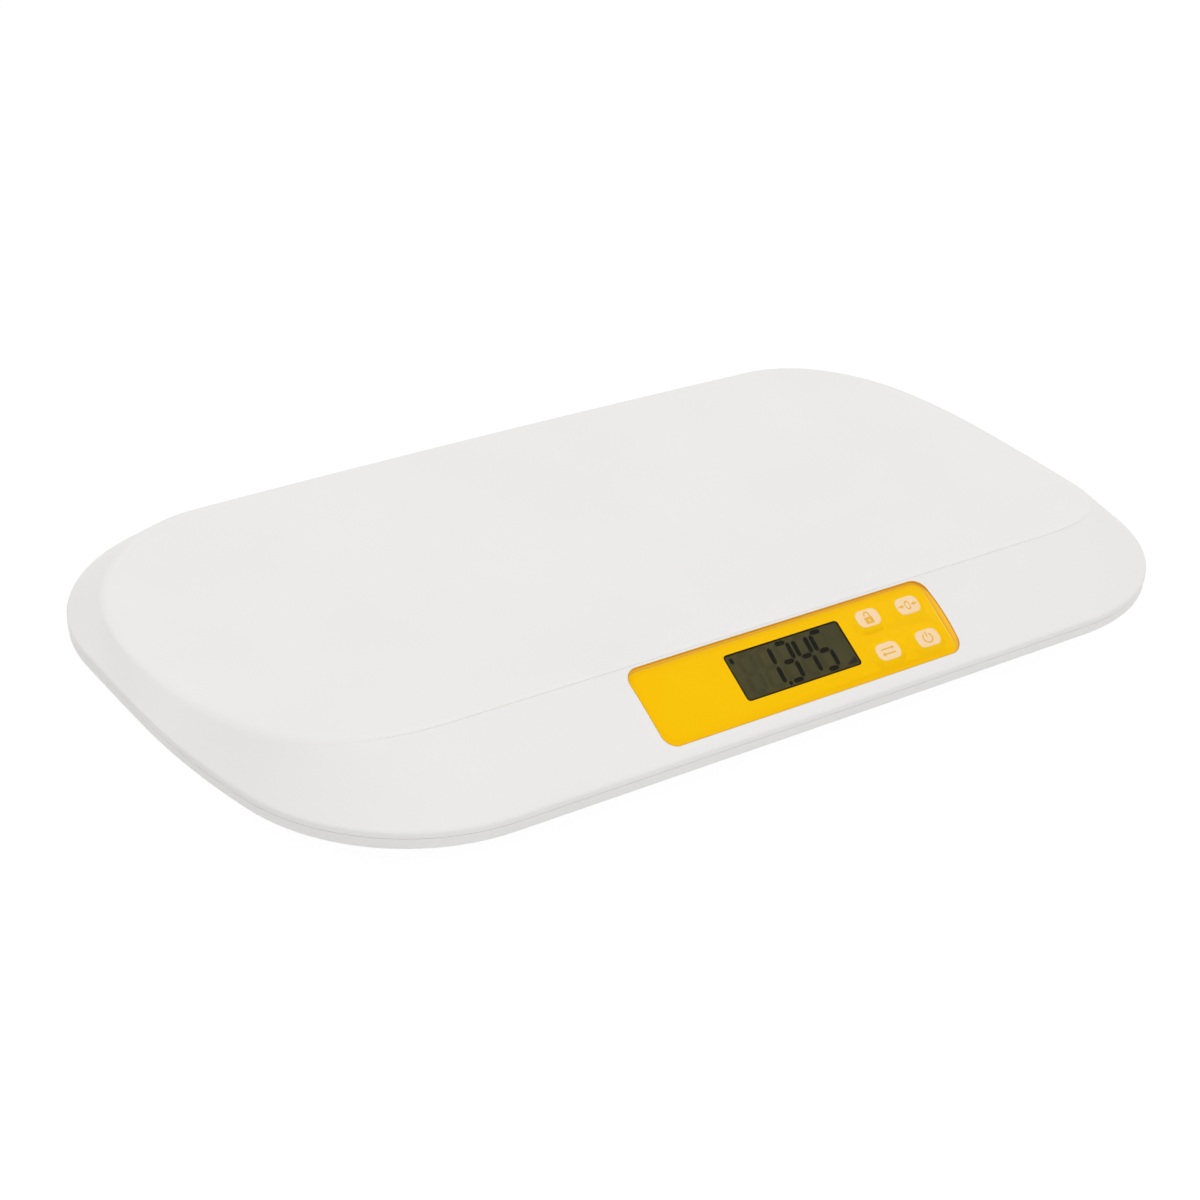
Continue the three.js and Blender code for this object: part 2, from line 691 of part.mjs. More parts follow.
// Lower shell: floor, sloping pan and rim band, with foot wells, screw columns, battery bay, ribs
// and the tongue that stands inside the upper shell's skirt
function baseShell() {
  const bandTop = partingZ - SEAT_GAP;
  const region = solid(pan(WALL / 2, bandTop));
  const tongueInset = WALL + EDGE_INSET + SEAT_GAP;
  const tongue = solid(slab(tongueInset, bandTop - TONGUE_ROOT, partingZ + TONGUE_HEIGHT))
    .subtract(solid(slab(tongueInset + TONGUE_THICKNESS, floorZ, partingZ + TONGUE_HEIGHT + OVERRUN)));

  const bayOutside = block(
    -bayHalf - BAY_WALL, bayHalf + BAY_WALL,
    bayFrontY - BAY_HOOK_MARGIN - BAY_WALL, bayBackY + BAY_LATCH_MARGIN + BAY_WALL,
    floorZ, bayRoofZ + BAY_WALL,
  );
  const moulded = [solid(bayOutside), ribGrid(floorZ, floorTopZ + FLOOR_RIB_HEIGHT)];
  for (const foot of feet) {
    moulded.push(solid(rod(collarRadius + WELL_COLLAR, floorZ, collarTopZ, ROUND_STEPS)
      .translate(foot.x, foot.y, 0)));
  }
  for (const screw of housingScrews) {
    moulded.push(solid(rod(COLUMN_RADIUS, floorZ, columnTopZ).translate(screw.x, screw.y, 0)));
  }
  const inside = moulded.reduce((whole, piece) => whole.add(piece)).intersect(region);

  const cuts = [
    block(
      -bayHalf, bayHalf,
      bayFrontY - BAY_HOOK_MARGIN, bayBackY + BAY_LATCH_MARGIN,
      floorTopZ - WALL / 2, bayRoofZ,
    ),
    block(-bayHalf, bayHalf, bayFrontY, bayBackY, floorZ - OVERRUN, floorTopZ),
    block(
      -DOOR_TAB_LENGTH / 2 - LOOSE_GAP, DOOR_TAB_LENGTH / 2 + LOOSE_GAP,
      bayBackY - OVERRUN, bayBackY + DOOR_TAB_REACH,
      floorZ - OVERRUN, floorTopZ,
    ),
  ];
  for (const foot of feet) {
    cuts.push(rod(wellRadius, floorZ - OVERRUN, floorTopZ + OVERRUN, ROUND_STEPS)
      .translate(foot.x, foot.y, 0));
    cuts.push(rod(collarRadius, floorTopZ, collarTopZ + OVERRUN, ROUND_STEPS)
      .translate(foot.x, foot.y, 0));
  }
  for (const screw of housingScrews) {
    cuts.push(rod(COUNTERBORE_RADIUS, floorZ - OVERRUN, screwSeatZ).translate(screw.x, screw.y, 0));
    cuts.push(rod(SCREW_RADIUS + LOOSE_GAP, floorZ, columnTopZ + OVERRUN).translate(screw.x, screw.y, 0));
  }

  const skin = solid(pan(0, bandTop)).subtract(solid(pan(WALL, bandTop + OVERRUN)));
  const whole = skin.add(inside).add(tongue);
  return surface(cuts.map(solid).reduce((body, cut) => body.subtract(cut), whole));
}

// Clear panel with a yellow print behind it, with an opening for each key
function displayLens() {
  const holes = keys.map((key) => keyOutline(key, SEAT_GAP + LENS_CHAMFER));
  const shape = shapeOf(panelOutline(-LENS_CHAMFER), holes);
  const geometry = new THREE.ExtrudeGeometry(shape, {
    depth: LENS_THICKNESS - 2 * LENS_CHAMFER,
    bevelThickness: LENS_CHAMFER,
    bevelSize: LENS_CHAMFER,
    bevelSegments: 1,
  });
  return geometry.translate(0, 0, lensBack + LENS_CHAMFER);
}

// Key: a cap through the panel, a flange behind the bed and a stem over its switch
function keyCap(key) {
  const stem = rod(KEY_STEM_RADIUS, keyStemBack, underBed).translate(key.x, key.v, 0);
  return surface(joined([
    prism(shapeOf(keyOutline(key, 0)), keyFlangeBack, KEY_PROUD),
    prism(shapeOf(keyOutline(key, KEY_FLANGE)), keyFlangeBack, underBed),
    stem,
  ]));
}

function tactSwitch(key) {
  const half = SWITCH_BODY / 2;
  const body = block(key.x - half, key.x + half, key.v - half, key.v + half, behindBed,
    behindBed + SWITCH_HEIGHT);
  const plunger = rod(SWITCH_PLUNGER_RADIUS, behindBed, plungerFace).translate(key.x, key.v, 0);
  return surface(joined([body, plunger]));
}

// Display glass, in the bed's window right behind the panel
function displayGlass() {
  const left = glassX - GLASS_LENGTH / 2;
  const low = glassV - GLASS_WIDTH / 2;
  return block(left, left + GLASS_LENGTH, low, low + GLASS_WIDTH, glassBack, bedFace);
}

// Holder: a frame from the bed to the board, with a ledge under each short end of the glass
function displayHolder() {
  const insideHalf = GLASS_LENGTH / 2 + SEAT_GAP;
  const insideV = GLASS_WIDTH / 2 + SEAT_GAP;
  const frame = shapeOf(
    rectangle(-insideHalf - HOLDER_WALL, insideHalf + HOLDER_WALL, -insideV - HOLDER_WALL, insideV + HOLDER_WALL),
    [rectangle(-insideHalf, insideHalf, -insideV, insideV)],
  );
  const pieces = [prism(frame, behindBed, underBed)];
  const ledgeTop = glassBack - SEAT_GAP;
  for (const side of [-1, 1]) {
    const near = side * (insideHalf - HOLDER_LEDGE);
    const far = side * (insideHalf + HOLDER_WALL / 2);
    pieces.push(block(
      Math.min(near, far), Math.max(near, far), -insideV - HOLDER_WALL / 2, insideV + HOLDER_WALL / 2,
      ledgeTop - HOLDER_LEDGE_THICKNESS, ledgeTop,
    ));
  }
  return surface(joined(pieces)).translate(glassX, glassV, 0);
}

function contactStrip(side) {
  const v = glassV + side * (GLASS_WIDTH / 2 - STRIP_WIDTH);
  const half = GLASS_LENGTH / 2 - STRIP_INSET;
  return block(
    glassX - half, glassX + half, v - STRIP_WIDTH / 2, v + STRIP_WIDTH / 2,
    behindBed, glassBack - SEAT_GAP,
  );
}

function mainBoard() {
  const board = solid(block(boardLeft, boardRight, boardLow, boardHigh, boardBack, boardFace));
  const drilled = boardPosts.reduce((body, [x, v]) => {
    const hole = rod(BOARD_SCREW_RADIUS + SEAT_GAP, boardBack - OVERRUN, boardFace + OVERRUN);
    return body.subtract(solid(hole.translate(x, v, 0)));
  }, board);
  return surface(drilled);
}

function boardScrew([x, v]) {
  const seat = boardBack - SEAT_GAP;
  const profile = [
    [0, seat - BOARD_HEAD],
    [BOARD_HEAD_RADIUS, seat - BOARD_HEAD],
    [BOARD_HEAD_RADIUS, seat],
    [BOARD_SCREW_RADIUS, seat],
    [BOARD_SCREW_RADIUS, behindBed + BOARD_SCREW_REACH - SEAT_GAP],
    [0, behindBed + BOARD_SCREW_REACH - SEAT_GAP],
  ];
  return turned(profile, SMALL_ROUND_STEPS).translate(x, v, 0);
}

function controllerChip() {
  const left = glassX + CHIP_SHIFT - CHIP_LENGTH / 2;
  const low = panelV - CHIP_LENGTH / 2;
  return block(
    left, left + CHIP_LENGTH, low, low + CHIP_LENGTH,
    boardBack - SEAT_GAP - CHIP_THICKNESS, boardBack - SEAT_GAP,
  );
}

const socketBack = boardBack - SEAT_GAP - SOCKET_HEIGHT;

function leadSocket(x, leads) {
  const half = (leads * SOCKET_PITCH) / 2;
  return block(
    x - half, x + half, panelV - SOCKET_WIDTH / 2, panelV + SOCKET_WIDTH / 2,
    socketBack, boardBack - SEAT_GAP,
  );
}

// Foot pad: a rubber disc with a rounded lower edge
function footPad(foot) {
  const profile = [
    [0, 0],
    [PAD_RADIUS - PAD_ROUND, 0],
    [PAD_RADIUS, PAD_ROUND],
    [PAD_RADIUS, PAD_THICKNESS],
    [0, PAD_THICKNESS],
  ];
  return turned(profile).translate(foot.x, foot.y, 0);
}

// Foot cup: skirt round the pad, floor, ledge under the load cell and a flange over the well's lip
function footCup(foot) {
  const inside = cupRadius - CUP_WALL;
  const profile = [
    [0, cupFloorZ],
    [inside, cupFloorZ],
    [inside, cupFloorZ - CUP_SKIRT],
    [cupRadius, cupFloorZ - CUP_SKIRT],
    [cupRadius, flangeZ],
    [cupRadius + CUP_FLANGE, flangeZ],
    [cupRadius + CUP_FLANGE, cupTopZ],
    [inside, cupTopZ],
    [inside, cupInsideZ + CUP_LEDGE],
    [inside - CUP_LEDGE_WIDTH, cupInsideZ + CUP_LEDGE],
    [inside - CUP_LEDGE_WIDTH, cupInsideZ],
    [0, cupInsideZ],
  ];
  return turned(profile).translate(foot.x, foot.y, 0);
}

// Load cell: a stamped steel square with a U slot that leaves a bending tongue in its middle
function loadCell(foot) {
  const tongue = CELL_TONGUE / 2;
  const outer = tongue + CELL_SLOT;
  const end = CELL_SIDE / 2 - CELL_EDGE;
  const slot = [
    [-outer, -end], [outer, -end], [outer, end], [tongue, end],
    [tongue, CELL_SLOT - end], [-tongue, CELL_SLOT - end], [-tongue, end], [-outer, end],
  ].map(([x, y]) => new THREE.Vector2(x, y));
  const shape = shapeOf(roundedRectangle(CELL_SIDE, CELL_SIDE, CELL_CORNER), [slot]);
  return prism(shape, cellZ, cellTopZ).translate(foot.x, foot.y, 0);
}

function housingScrew(screw) {
  const seat = screwSeatZ - SEAT_GAP;
  const profile = [
    [0, seat - SCREW_HEAD],
    [SCREW_HEAD_RADIUS, seat - SCREW_HEAD],
    [SCREW_HEAD_RADIUS, seat],
    [SCREW_RADIUS, seat],
    [SCREW_RADIUS, columnTopZ + SCREW_REACH],
    [0, columnTopZ + SCREW_REACH],
  ];
  return turned(profile, SMALL_ROUND_STEPS).translate(screw.x, screw.y, 0);
}

// Battery door: a ribbed plate with a thumb tab, and two hooks that turn under the floor's lip
function batteryDoor() {
  const half = bayHalf - LOOSE_GAP;
  const front = bayFrontY + LOOSE_GAP;
  const back = bayBackY - LOOSE_GAP;
  const tab = DOOR_TAB_LENGTH / 2;
  const tabBack = bayBackY + DOOR_TAB_REACH - LOOSE_GAP;
  const pieces = [
    block(-half, half, front, back, floorZ, doorTopZ),
    block(-tab, tab, back - OVERRUN, tabBack, floorZ, doorTopZ),
  ];
  for (let i = 1; i < CELL_COUNT; i += 1) {
    const y = firstCellY + i * BATTERY_PITCH;
    pieces.push(block(-half, half, y - RIB / 2, y + RIB / 2, floorZ, doorTopZ + DOOR_RIB_HEIGHT));
  }
  for (let i = 1; i <= 2; i += 1) {
    const y = tabBack - 2 * i * DOOR_GRIP;
    pieces.push(block(-tab + DOOR_GRIP, tab - DOOR_GRIP, y, y + DOOR_GRIP, floorZ - DOOR_GRIP_HEIGHT, doorTopZ));
  }
  const hookZ = floorTopZ + SEAT_GAP;
  for (const side of [-1, 1]) {
    const x = side * half * HOOK_SHARE;
    const left = x - HOOK_LENGTH / 2;
    const right = x + HOOK_LENGTH / 2;
    pieces.push(block(left, right, front, front + HOOK_THICKNESS, floorZ, hookZ + HOOK_THICKNESS));
    pieces.push(block(left, right, front - HOOK_REACH, front + HOOK_THICKNESS, hookZ, hookZ + HOOK_THICKNESS));
  }
  return surface(joined(pieces));
}

// Battery, with its nub to the side that the sign gives
function battery(index, side) {
  const half = BATTERY_LENGTH / 2;
  const profile = [
    [0, -half],
    [BATTERY_RADIUS - BATTERY_ROUND, -half],
    [BATTERY_RADIUS, BATTERY_ROUND - half],
    [BATTERY_RADIUS, half - BATTERY_ROUND],
    [BATTERY_RADIUS - BATTERY_ROUND, half],
    [BATTERY_NUB_RADIUS, half],
    [BATTERY_NUB_RADIUS, half + BATTERY_NUB],
    [0, half + BATTERY_NUB],
  ];
  const y = firstCellY + (index + 1 / 2) * BATTERY_PITCH;
  const shift = bayHalf - contactGap - SEAT_GAP - BATTERY_NUB - half;
  const turnedSideways = turned(profile).rotateY((side * Math.PI) / 2);
  return turnedSideways.translate(side * shift, y, batteryAxisZ);
}

// Wire of a battery spring, which narrows away from its plate
class SpringWire extends THREE.Curve {
  getPoint(share) {
    const angle = share * SPRING_TURNS * 2 * Math.PI;
    const radius = THREE.MathUtils.lerp(SPRING_BASE_RADIUS, SPRING_TIP_RADIUS, share);
    return new THREE.Vector3(share * SPRING_LENGTH, radius * Math.cos(angle), radius * Math.sin(angle));
  }
}

function ringPoints(radius, sides) {
  const points = [];
  for (let i = 0; i < sides; i += 1) {
    const angle = (i / sides) * 2 * Math.PI;
    points.push(new THREE.Vector2(radius * Math.cos(angle), radius * Math.sin(angle)));
  }
  return points;
}

function spring() {
  return new THREE.ExtrudeGeometry(shapeOf(ringPoints(SPRING_WIRE_RADIUS, SPRING_SIDES)), {
    extrudePath: new SpringWire(),
    steps: SPRING_STEPS,
    bevelEnabled: false,
  });
}

// Contact at one end of the bay: a plate over the cells that it joins, with a spring for each
// flat end and a raised dimple for each nub
function contact(side, cells) {
  const wallX = bayHalf - SEAT_GAP;
  const plateX = wallX - CONTACT_THICKNESS;
  const middles = cells.map(({ index }) => firstCellY + (index + 1 / 2) * BATTERY_PITCH);
  const low = Math.min(...middles) - CONTACT_WIDTH / 2;
  const high = Math.max(...middles) + CONTACT_WIDTH / 2;
  const pieces = [block(
    plateX, wallX, low, high, batteryAxisZ - CONTACT_HEIGHT / 2, batteryAxisZ + CONTACT_HEIGHT / 2,
  )];
  cells.forEach(({ nub }, i) => {
    if (nub) {
      const dimple = new THREE.CylinderGeometry(DIMPLE_RADIUS, DIMPLE_RADIUS, CONTACT_THICKNESS, SMALL_ROUND_STEPS);
      pieces.push(dimple.rotateZ(Math.PI / 2).translate(plateX, middles[i], batteryAxisZ));
    } else {
      pieces.push(spring().rotateZ(Math.PI).translate(plateX + SPRING_WIRE_RADIUS, middles[i], batteryAxisZ));
    }
  });
  const whole = joined(pieces);
  return surface(side > 0 ? whole : whole.mirror([1, 0, 0]));
}

function lead(points) {
  const places = points.map((point) => new THREE.Vector3(...point));
  const path = new THREE.CatmullRomCurve3(places, false, "catmullrom", LEAD_SLACK_SHARE);
  return new THREE.ExtrudeGeometry(shapeOf(ringPoints(LEAD_RADIUS, LEAD_SIDES)), {
    extrudePath: path,
    steps: Math.ceil(path.getLength() / LEAD_STEP_LENGTH),
    bevelEnabled: false,
  });
}

// Leads lie on the floor ribs and climb to the sockets behind the board
const leadZ = floorTopZ + FLOOR_RIB_HEIGHT + SEAT_GAP + LEAD_RADIUS;
const leadTurnY = 2 * LEAD_SPACING - footY;

function socketEnd(x) {
  const end = new THREE.Vector3(x, panelV, socketBack - SEAT_GAP).applyMatrix4(slope.matrix);
  const before = new THREE.Vector3(x, panelV, socketBack - SOCKET_HEIGHT).applyMatrix4(slope.matrix);
  return [[before.x, before.y, before.z], [end.x, end.y, end.z]];
}

function sensorLead(foot, socketX) {
  const startZ = cellTopZ + FOOT_TRAVEL + SEAT_GAP + LEAD_RADIUS;
  const front = foot.y < 0;
  const step = front ? [-foot.side, 0] : [0, -1];
  const along = (distance, z) => [foot.x + step[0] * distance, foot.y + step[1] * distance, z];
  const out = collarRadius + LEAD_SPACING;
  const turnY = front ? foot.y : leadTurnY;
  const turnX = THREE.MathUtils.lerp(foot.x, socketX, LEAD_RUN_SHARE);
  return lead([
    along(LEAD_START, startZ),
    along(cupRadius - LEAD_RISE, leadZ),
    along(out, leadZ),
    [turnX, turnY, leadZ],
    [socketX + foot.side * LEAD_SPACING, turnY, leadZ],
    ...socketEnd(socketX),
  ]);
}

function batteryLead(socketX) {
  const startX = -bayHalf - BAY_WALL - SEAT_GAP - LEAD_RADIUS;
  return lead([
    [startX, BAY_Y, leadZ],
    [startX, bayFrontY - FLOOR_INSET, leadZ],
    [socketX, leadTurnY, leadZ],
    ...socketEnd(socketX),
  ]);
}

node("top_shell", topShell(), FINISHES.whiteShell());
node("base_shell", baseShell(), FINISHES.whiteShell());

node("display_lens", displayLens(), FINISHES.yellowLens(), slope);
node("display_glass", displayGlass(), FINISHES.displayGlass(), slope);
node("display_holder", displayHolder(), FINISHES.blackPlastic(), slope);
node("contact_strip_upper", contactStrip(1), FINISHES.contactRubber(), slope);
node("contact_strip_lower", contactStrip(-1), FINISHES.contactRubber(), slope);
node("main_board", mainBoard(), FINISHES.circuitBoard(), slope);
node("controller_chip", controllerChip(), FINISHES.chipEpoxy(), slope);
node("lead_socket_left", leadSocket(socketLeftX, 3), FINISHES.socketNylon(), slope);
node("lead_socket_right", leadSocket(socketRightX, 2), FINISHES.socketNylon(), slope);
for (const key of keys) {
  node(`key_${key.name}`, keyCap(key), FINISHES.keyRubber(), slope);
  node(`switch_${key.name}`, tactSwitch(key), FINISHES.blackPlastic(), slope);
}
boardPosts.forEach((post, i) => {
  node(`board_screw_${i + 1}`, boardScrew(post), FINISHES.platedSteel(), slope);
});

for (const foot of feet) {
  node(`foot_pad_${foot.name}`, footPad(foot), FINISHES.footRubber());
  node(`foot_cup_${foot.name}`, footCup(foot), FINISHES.whiteShell());
  node(`load_cell_${foot.name}`, loadCell(foot), FINISHES.platedSteel());
}
for (const screw of housingScrews) {
  node(`housing_screw_${screw.name}`, housingScrew(screw), FINISHES.platedSteel());
}

node("battery_door", batteryDoor(), FINISHES.whiteShell());
for (let i = 0; i < CELL_COUNT; i += 1) {
  node(`battery_${i + 1}`, battery(i, i % 2 ? -1 : 1), FINISHES.cellWrap());
}
node("contact_start", contact(-1, [{ index: 0, nub: false }]), FINISHES.springSteel());
node("contact_link_right", contact(1, [{ index: 0, nub: true }, { index: 1, nub: false }]), FINISHES.springSteel());
node("contact_link_left", contact(-1, [{ index: 1, nub: true }, { index: 2, nub: false }]), FINISHES.springSteel());
node("contact_end", contact(1, [{ index: 2, nub: true }]), FINISHES.springSteel());

for (const foot of feet) {
  const socketX = foot.side < 0 ? socketLeftX : socketRightX;
  const half = SOCKET_PITCH / 2;
  const place = foot.side < 0
    ? socketX - (foot.y < 0 ? SOCKET_PITCH : 0)
    : socketX + (foot.y < 0 ? half : -half);
  node(`sensor_lead_${foot.name}`, sensorLead(foot, place), FINISHES.leadSheath());
}
node("battery_lead", batteryLead(socketLeftX + SOCKET_PITCH), FINISHES.leadSheath());

export default scale;
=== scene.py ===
"""Digital baby weighing scale: fine shapes, finishes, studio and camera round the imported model.

Sizes are in millimetres and become metres where a mesh is made. The housing's shapes are worked out
from the same named sizes as the part itself.
"""
import json
import logging
import math
from dataclasses import dataclass, replace
from enum import Enum

import bmesh
import bpy
import numpy as np
from mathutils import Matrix, Vector


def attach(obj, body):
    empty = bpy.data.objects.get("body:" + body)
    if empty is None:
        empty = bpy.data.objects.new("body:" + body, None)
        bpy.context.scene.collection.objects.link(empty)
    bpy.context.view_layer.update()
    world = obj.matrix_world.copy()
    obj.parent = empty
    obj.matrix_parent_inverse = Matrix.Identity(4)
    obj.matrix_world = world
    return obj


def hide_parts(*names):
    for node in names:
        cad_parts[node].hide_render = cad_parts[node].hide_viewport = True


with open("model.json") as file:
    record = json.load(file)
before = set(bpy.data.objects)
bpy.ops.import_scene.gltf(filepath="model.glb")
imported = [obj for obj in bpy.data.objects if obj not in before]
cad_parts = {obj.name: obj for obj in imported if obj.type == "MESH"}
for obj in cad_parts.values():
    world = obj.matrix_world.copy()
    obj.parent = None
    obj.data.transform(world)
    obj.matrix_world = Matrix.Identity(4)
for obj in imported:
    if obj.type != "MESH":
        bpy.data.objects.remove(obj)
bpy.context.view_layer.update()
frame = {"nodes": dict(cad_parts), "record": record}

LOG = logging.getLogger("scale")
MM = 0.001
WHITE_LIGHT = (1.0, 1.0, 1.0, 1.0)
# How far a tool runs past what it cuts
OVERRUN = 1.0
# Vertices (N, 3) in millimetres and faces
Mesh = tuple[np.ndarray, list]
# A mesh, or an object made of one
Form = Mesh | bpy.types.Object
Socket = bpy.types.NodeSocket
Tree = bpy.types.NodeTree
# Rows of numbers, such as the points of a profile
Table = tuple[tuple[float, ...], ...]


class Slot(Enum):
    """The material slots of the record."""

    SHELL = "white_shell"
    LENS = "yellow_lens"
    GLASS = "display_glass"
    KEY = "key_rubber"
    BLACK = "black_plastic"
    STRIP = "contact_rubber"
    BOARD = "circuit_board"
    CHIP = "chip_epoxy"
    SOCKET = "socket_nylon"
    PLATED = "plated_steel"
    SPRING = "spring_steel"
    FOOT = "foot_rubber"
    WRAP = "cell_wrap"
    LEAD = "lead_sheath"


class Cap(Enum):
    """How a loft ends: in a fan of triangles, in one flat face, or joined to its own start."""

    FAN = "fan"
    FLAT = "flat"
    RING = "ring"


class Operation(Enum):
    """What a tool does to a form."""

    JOIN = "UNION"
    CUT = "DIFFERENCE"
    KEEP = "INTERSECT"


class Sign(Enum):
    """The generic signs on the keys."""

    PADLOCK = "lock"
    ZERO = "zero"
    SWAP = "unit"
    STANDBY = "power"


# ---------------------------------------------------------------- shaders


def linear(colour: str) -> tuple[float, float, float, float]:
    """Turns an sRGB hex colour to linear: c/12.92 below 0.04045, else ((c+0.055)/1.055)^2.4.

    Args:
        colour: six hex digits after a hash.

    Returns:
        Red, green, blue and an alpha of 1.
    """
    channels = np.array([int(colour[i:i + 2], 16) for i in (1, 3, 5)]) / 255
    low, high = channels / 12.92, ((channels + 0.055) / 1.055) ** 2.4
    return (*np.where(channels <= 0.04045, low, high).tolist(), 1.0)


def add_node(tree: Tree, kind: str, inputs: dict | None = None, output: int | str = 0,
             **settings: object) -> Socket | None:
    """Adds one shader node with its settings and links.

    Args:
        tree: the node tree that gets the node.
        kind: the node's type.
        inputs: input name or number to the socket that feeds it, or to its value.
        output: the output that is given back.
        settings: a property of the node, or an input's value with spaces as underscores.

    Returns:
        That output socket, where the node has one.
    """
    node = tree.nodes.new(kind)
    for name, value in settings.items():
        if name in node.bl_rna.properties:
            setattr(node, name, value)
        else:
            node.inputs[name.replace("_", " ")].default_value = value
    for socket, source in (inputs or {}).items():
        if isinstance(source, Socket):
            tree.links.new(source, node.inputs[socket])
        else:
            node.inputs[socket].default_value = source
    return node.outputs[output] if node.outputs else None


def worked(tree: Tree, operation: str, *values: Socket | float, clamp: bool = False) -> Socket:
    """Works out one operation on sockets and numbers."""
    return add_node(tree, "ShaderNodeMath", dict(enumerate(values)), operation=operation, use_clamp=clamp)


def ranged(tree: Tree, value: Socket, low: float, high: float) -> Socket:
    """Spreads a value of 0 to 1 between two limits."""
    return add_node(tree, "ShaderNodeMapRange", {"Value": value}, To_Min=low, To_Max=high)


def mixed(tree: Tree, share: Socket, first: Socket, second: Socket) -> Socket:
    """Mixes two shaders by the share of the second."""
    return add_node(tree, "ShaderNodeMixShader", {0: share, 1: first, 2: second})


def on_piece(tree: Tree) -> Socket:
    """The piece's own coordinates in metres."""
    return add_node(tree, "ShaderNodeTexCoord", output="Object")


def noise(tree: Tree, place: Socket, size: float, detail: float = 2.0) -> Socket:
    """Noise whose patches have a size in millimetres."""
    return add_node(tree, "ShaderNodeTexNoise", {"Vector": place}, Scale=1 / (size * MM), Detail=detail)


def bumped(tree: Tree, height: Socket, depth: float) -> Socket:
    """Bump of a depth in millimetres."""
    return add_node(tree, "ShaderNodeBump", {"Height": height}, Strength=1.0, Distance=depth * MM)


def ramped(tree: Tree, value: Socket, stops: tuple[tuple[float, str], ...]) -> Socket:
    """Turns a value into the colours of a ramp.

    Args:
        tree: the node tree.
        value: the value's socket.
        stops: position and hex colour of each stop.

    Returns:
        The colour's socket.
    """
    colour = add_node(tree, "ShaderNodeValToRGB", {"Fac": value})
    elements = colour.node.color_ramp.elements
    while len(elements) < len(stops):
        elements.new(0.5)
    for element, (position, shade) in zip(elements, stops):
        element.position, element.color = position, linear(shade)
    return colour


def seen(tree: Tree) -> Socket:
    """1 where a camera, transmission or glossy ray looks, else 0.

    Args:
        tree: the node tree that asks.

    Returns:
        The value's socket.
    """
    path = add_node(tree, "ShaderNodeLightPath").node.outputs
    through = worked(tree, "MAXIMUM", path["Is Camera Ray"], path["Is Transmission Ray"])
    return worked(tree, "MAXIMUM", through, path["Is Glossy Ray"])


@dataclass(frozen=True)
class Coating:
    """A material that is made once under its name."""

    name: str

    def surface(self, tree: Tree) -> Socket:
        """Adds the nodes and gives the shader's socket."""
        raise NotImplementedError

    def material(self) -> bpy.types.Material:
        """Makes the material, or gives the one made before.

        Returns:
            The material.
        """
        known = bpy.data.materials.get(self.name)
        if known:
            return known
        material = bpy.data.materials.new(self.name)
        material.use_nodes = True
        tree = material.node_tree
        tree.nodes.clear()
        add_node(tree, "ShaderNodeOutputMaterial", {"Surface": self.surface(tree)})
        return material


@dataclass(frozen=True)
class Finish(Coating):
    """A solid finish: colour, gloss, fine grain as bump, and slow changes of colour and gloss.

    The pattern sizes are real ones in millimetres.
    """

    colour: str
    second: str
    roughness: float = 0.4
    metallic: float = 0.0
    ior: float = 1.5
    specular: float = 0.5
    coat: float = 0.0
    coat_roughness: float = 0.05
    subsurface: float = 0.0
    subsurface_depth: float = 1.0
    sheen: float = 0.0
    grain: float = 0.8
    grain_height: float = 0.004
    stretch: tuple[float, float, float] = (1.0, 1.0, 1.0)
    mottle: float = 30.0
    mottle_ends: tuple[float, float] = (0.3, 0.7)
    gloss_change: float = 0.04

    def surface(self, tree: Tree) -> Socket:
        """Mixes the two colours by the mottle, and moves gloss and bump by the grain.

        Args:
            tree: the material's node tree.

        Returns:
            The shader's socket.
        """
        place = on_piece(tree)
        mottle = noise(tree, place, self.mottle, 3.0)
        stops = tuple(zip(self.mottle_ends, (self.colour, self.second)))
        stretched = add_node(tree, "ShaderNodeMapping", {"Vector": place}, Scale=self.stretch)
        grain = noise(tree, stretched, self.grain)
        return add_node(
            tree, "ShaderNodeBsdfPrincipled",
            {"Base Color": ramped(tree, mottle, stops),
             "Roughness": ranged(tree, grain, self.roughness - self.gloss_change,
                                 self.roughness + self.gloss_change),
             "Normal": bumped(tree, grain, self.grain_height)},
            Metallic=self.metallic, IOR=self.ior, Specular_IOR_Level=self.specular, Coat_Weight=self.coat,
            Coat_Roughness=self.coat_roughness, Subsurface_Weight=self.subsurface,
            Subsurface_Scale=self.subsurface_depth * MM, Sheen_Weight=self.sheen)


# ABS, injection moulded in a finely eroded tool: bright satin white, no visible grain, soft highlights
WHITE_ABS = Finish("moulded_white_abs", "#EEEDEB", "#ECEBE9", roughness=0.42, ior=1.53, specular=0.16,
                   grain=0.9, grain_height=0.006, mottle=60.0)
# The lower shell has the same ABS with a coarser eroded texture: a touch duller
WHITE_ABS_BELOW = replace(WHITE_ABS, name="moulded_white_abs_lower", roughness=0.45, grain=1.1,
                          grain_height=0.012)
# Screen-printed enamel ink behind the panel: flat, even, strong yellow with a faint unevenness
YELLOW_INK = Finish("screen_printed_yellow_ink", "#FDCB12", "#FBC80E", roughness=0.55, specular=0.0,
                    grain=0.5, grain_height=0.002, mottle=40.0)
# Dark brown, matt and flat: a crisp frame round the window that paints the thin shadow along the window's
# edge
WINDOW_EDGE_PAINTED_SHADOW = Finish("painted_window_edge_shadow", "#1F160A", "#241A0B", roughness=0.5, specular=0.0)
# Silicone rubber keys, compression moulded: matt and slightly see-through peach
PEACH_SILICONE = Finish("moulded_peach_silicone", "#FAD9AE", "#F8D5A8", roughness=0.55, ior=1.43,
                        subsurface=0.08, grain=0.6, sheen=0.1)
# Pad-printed ink on the keys: thin, darker yellow, matt
KEY_INK = Finish("pad_printed_yellow_ink", "#EDB41E", "#EAB11A", roughness=0.5, grain=0.5,
                 grain_height=0.002)
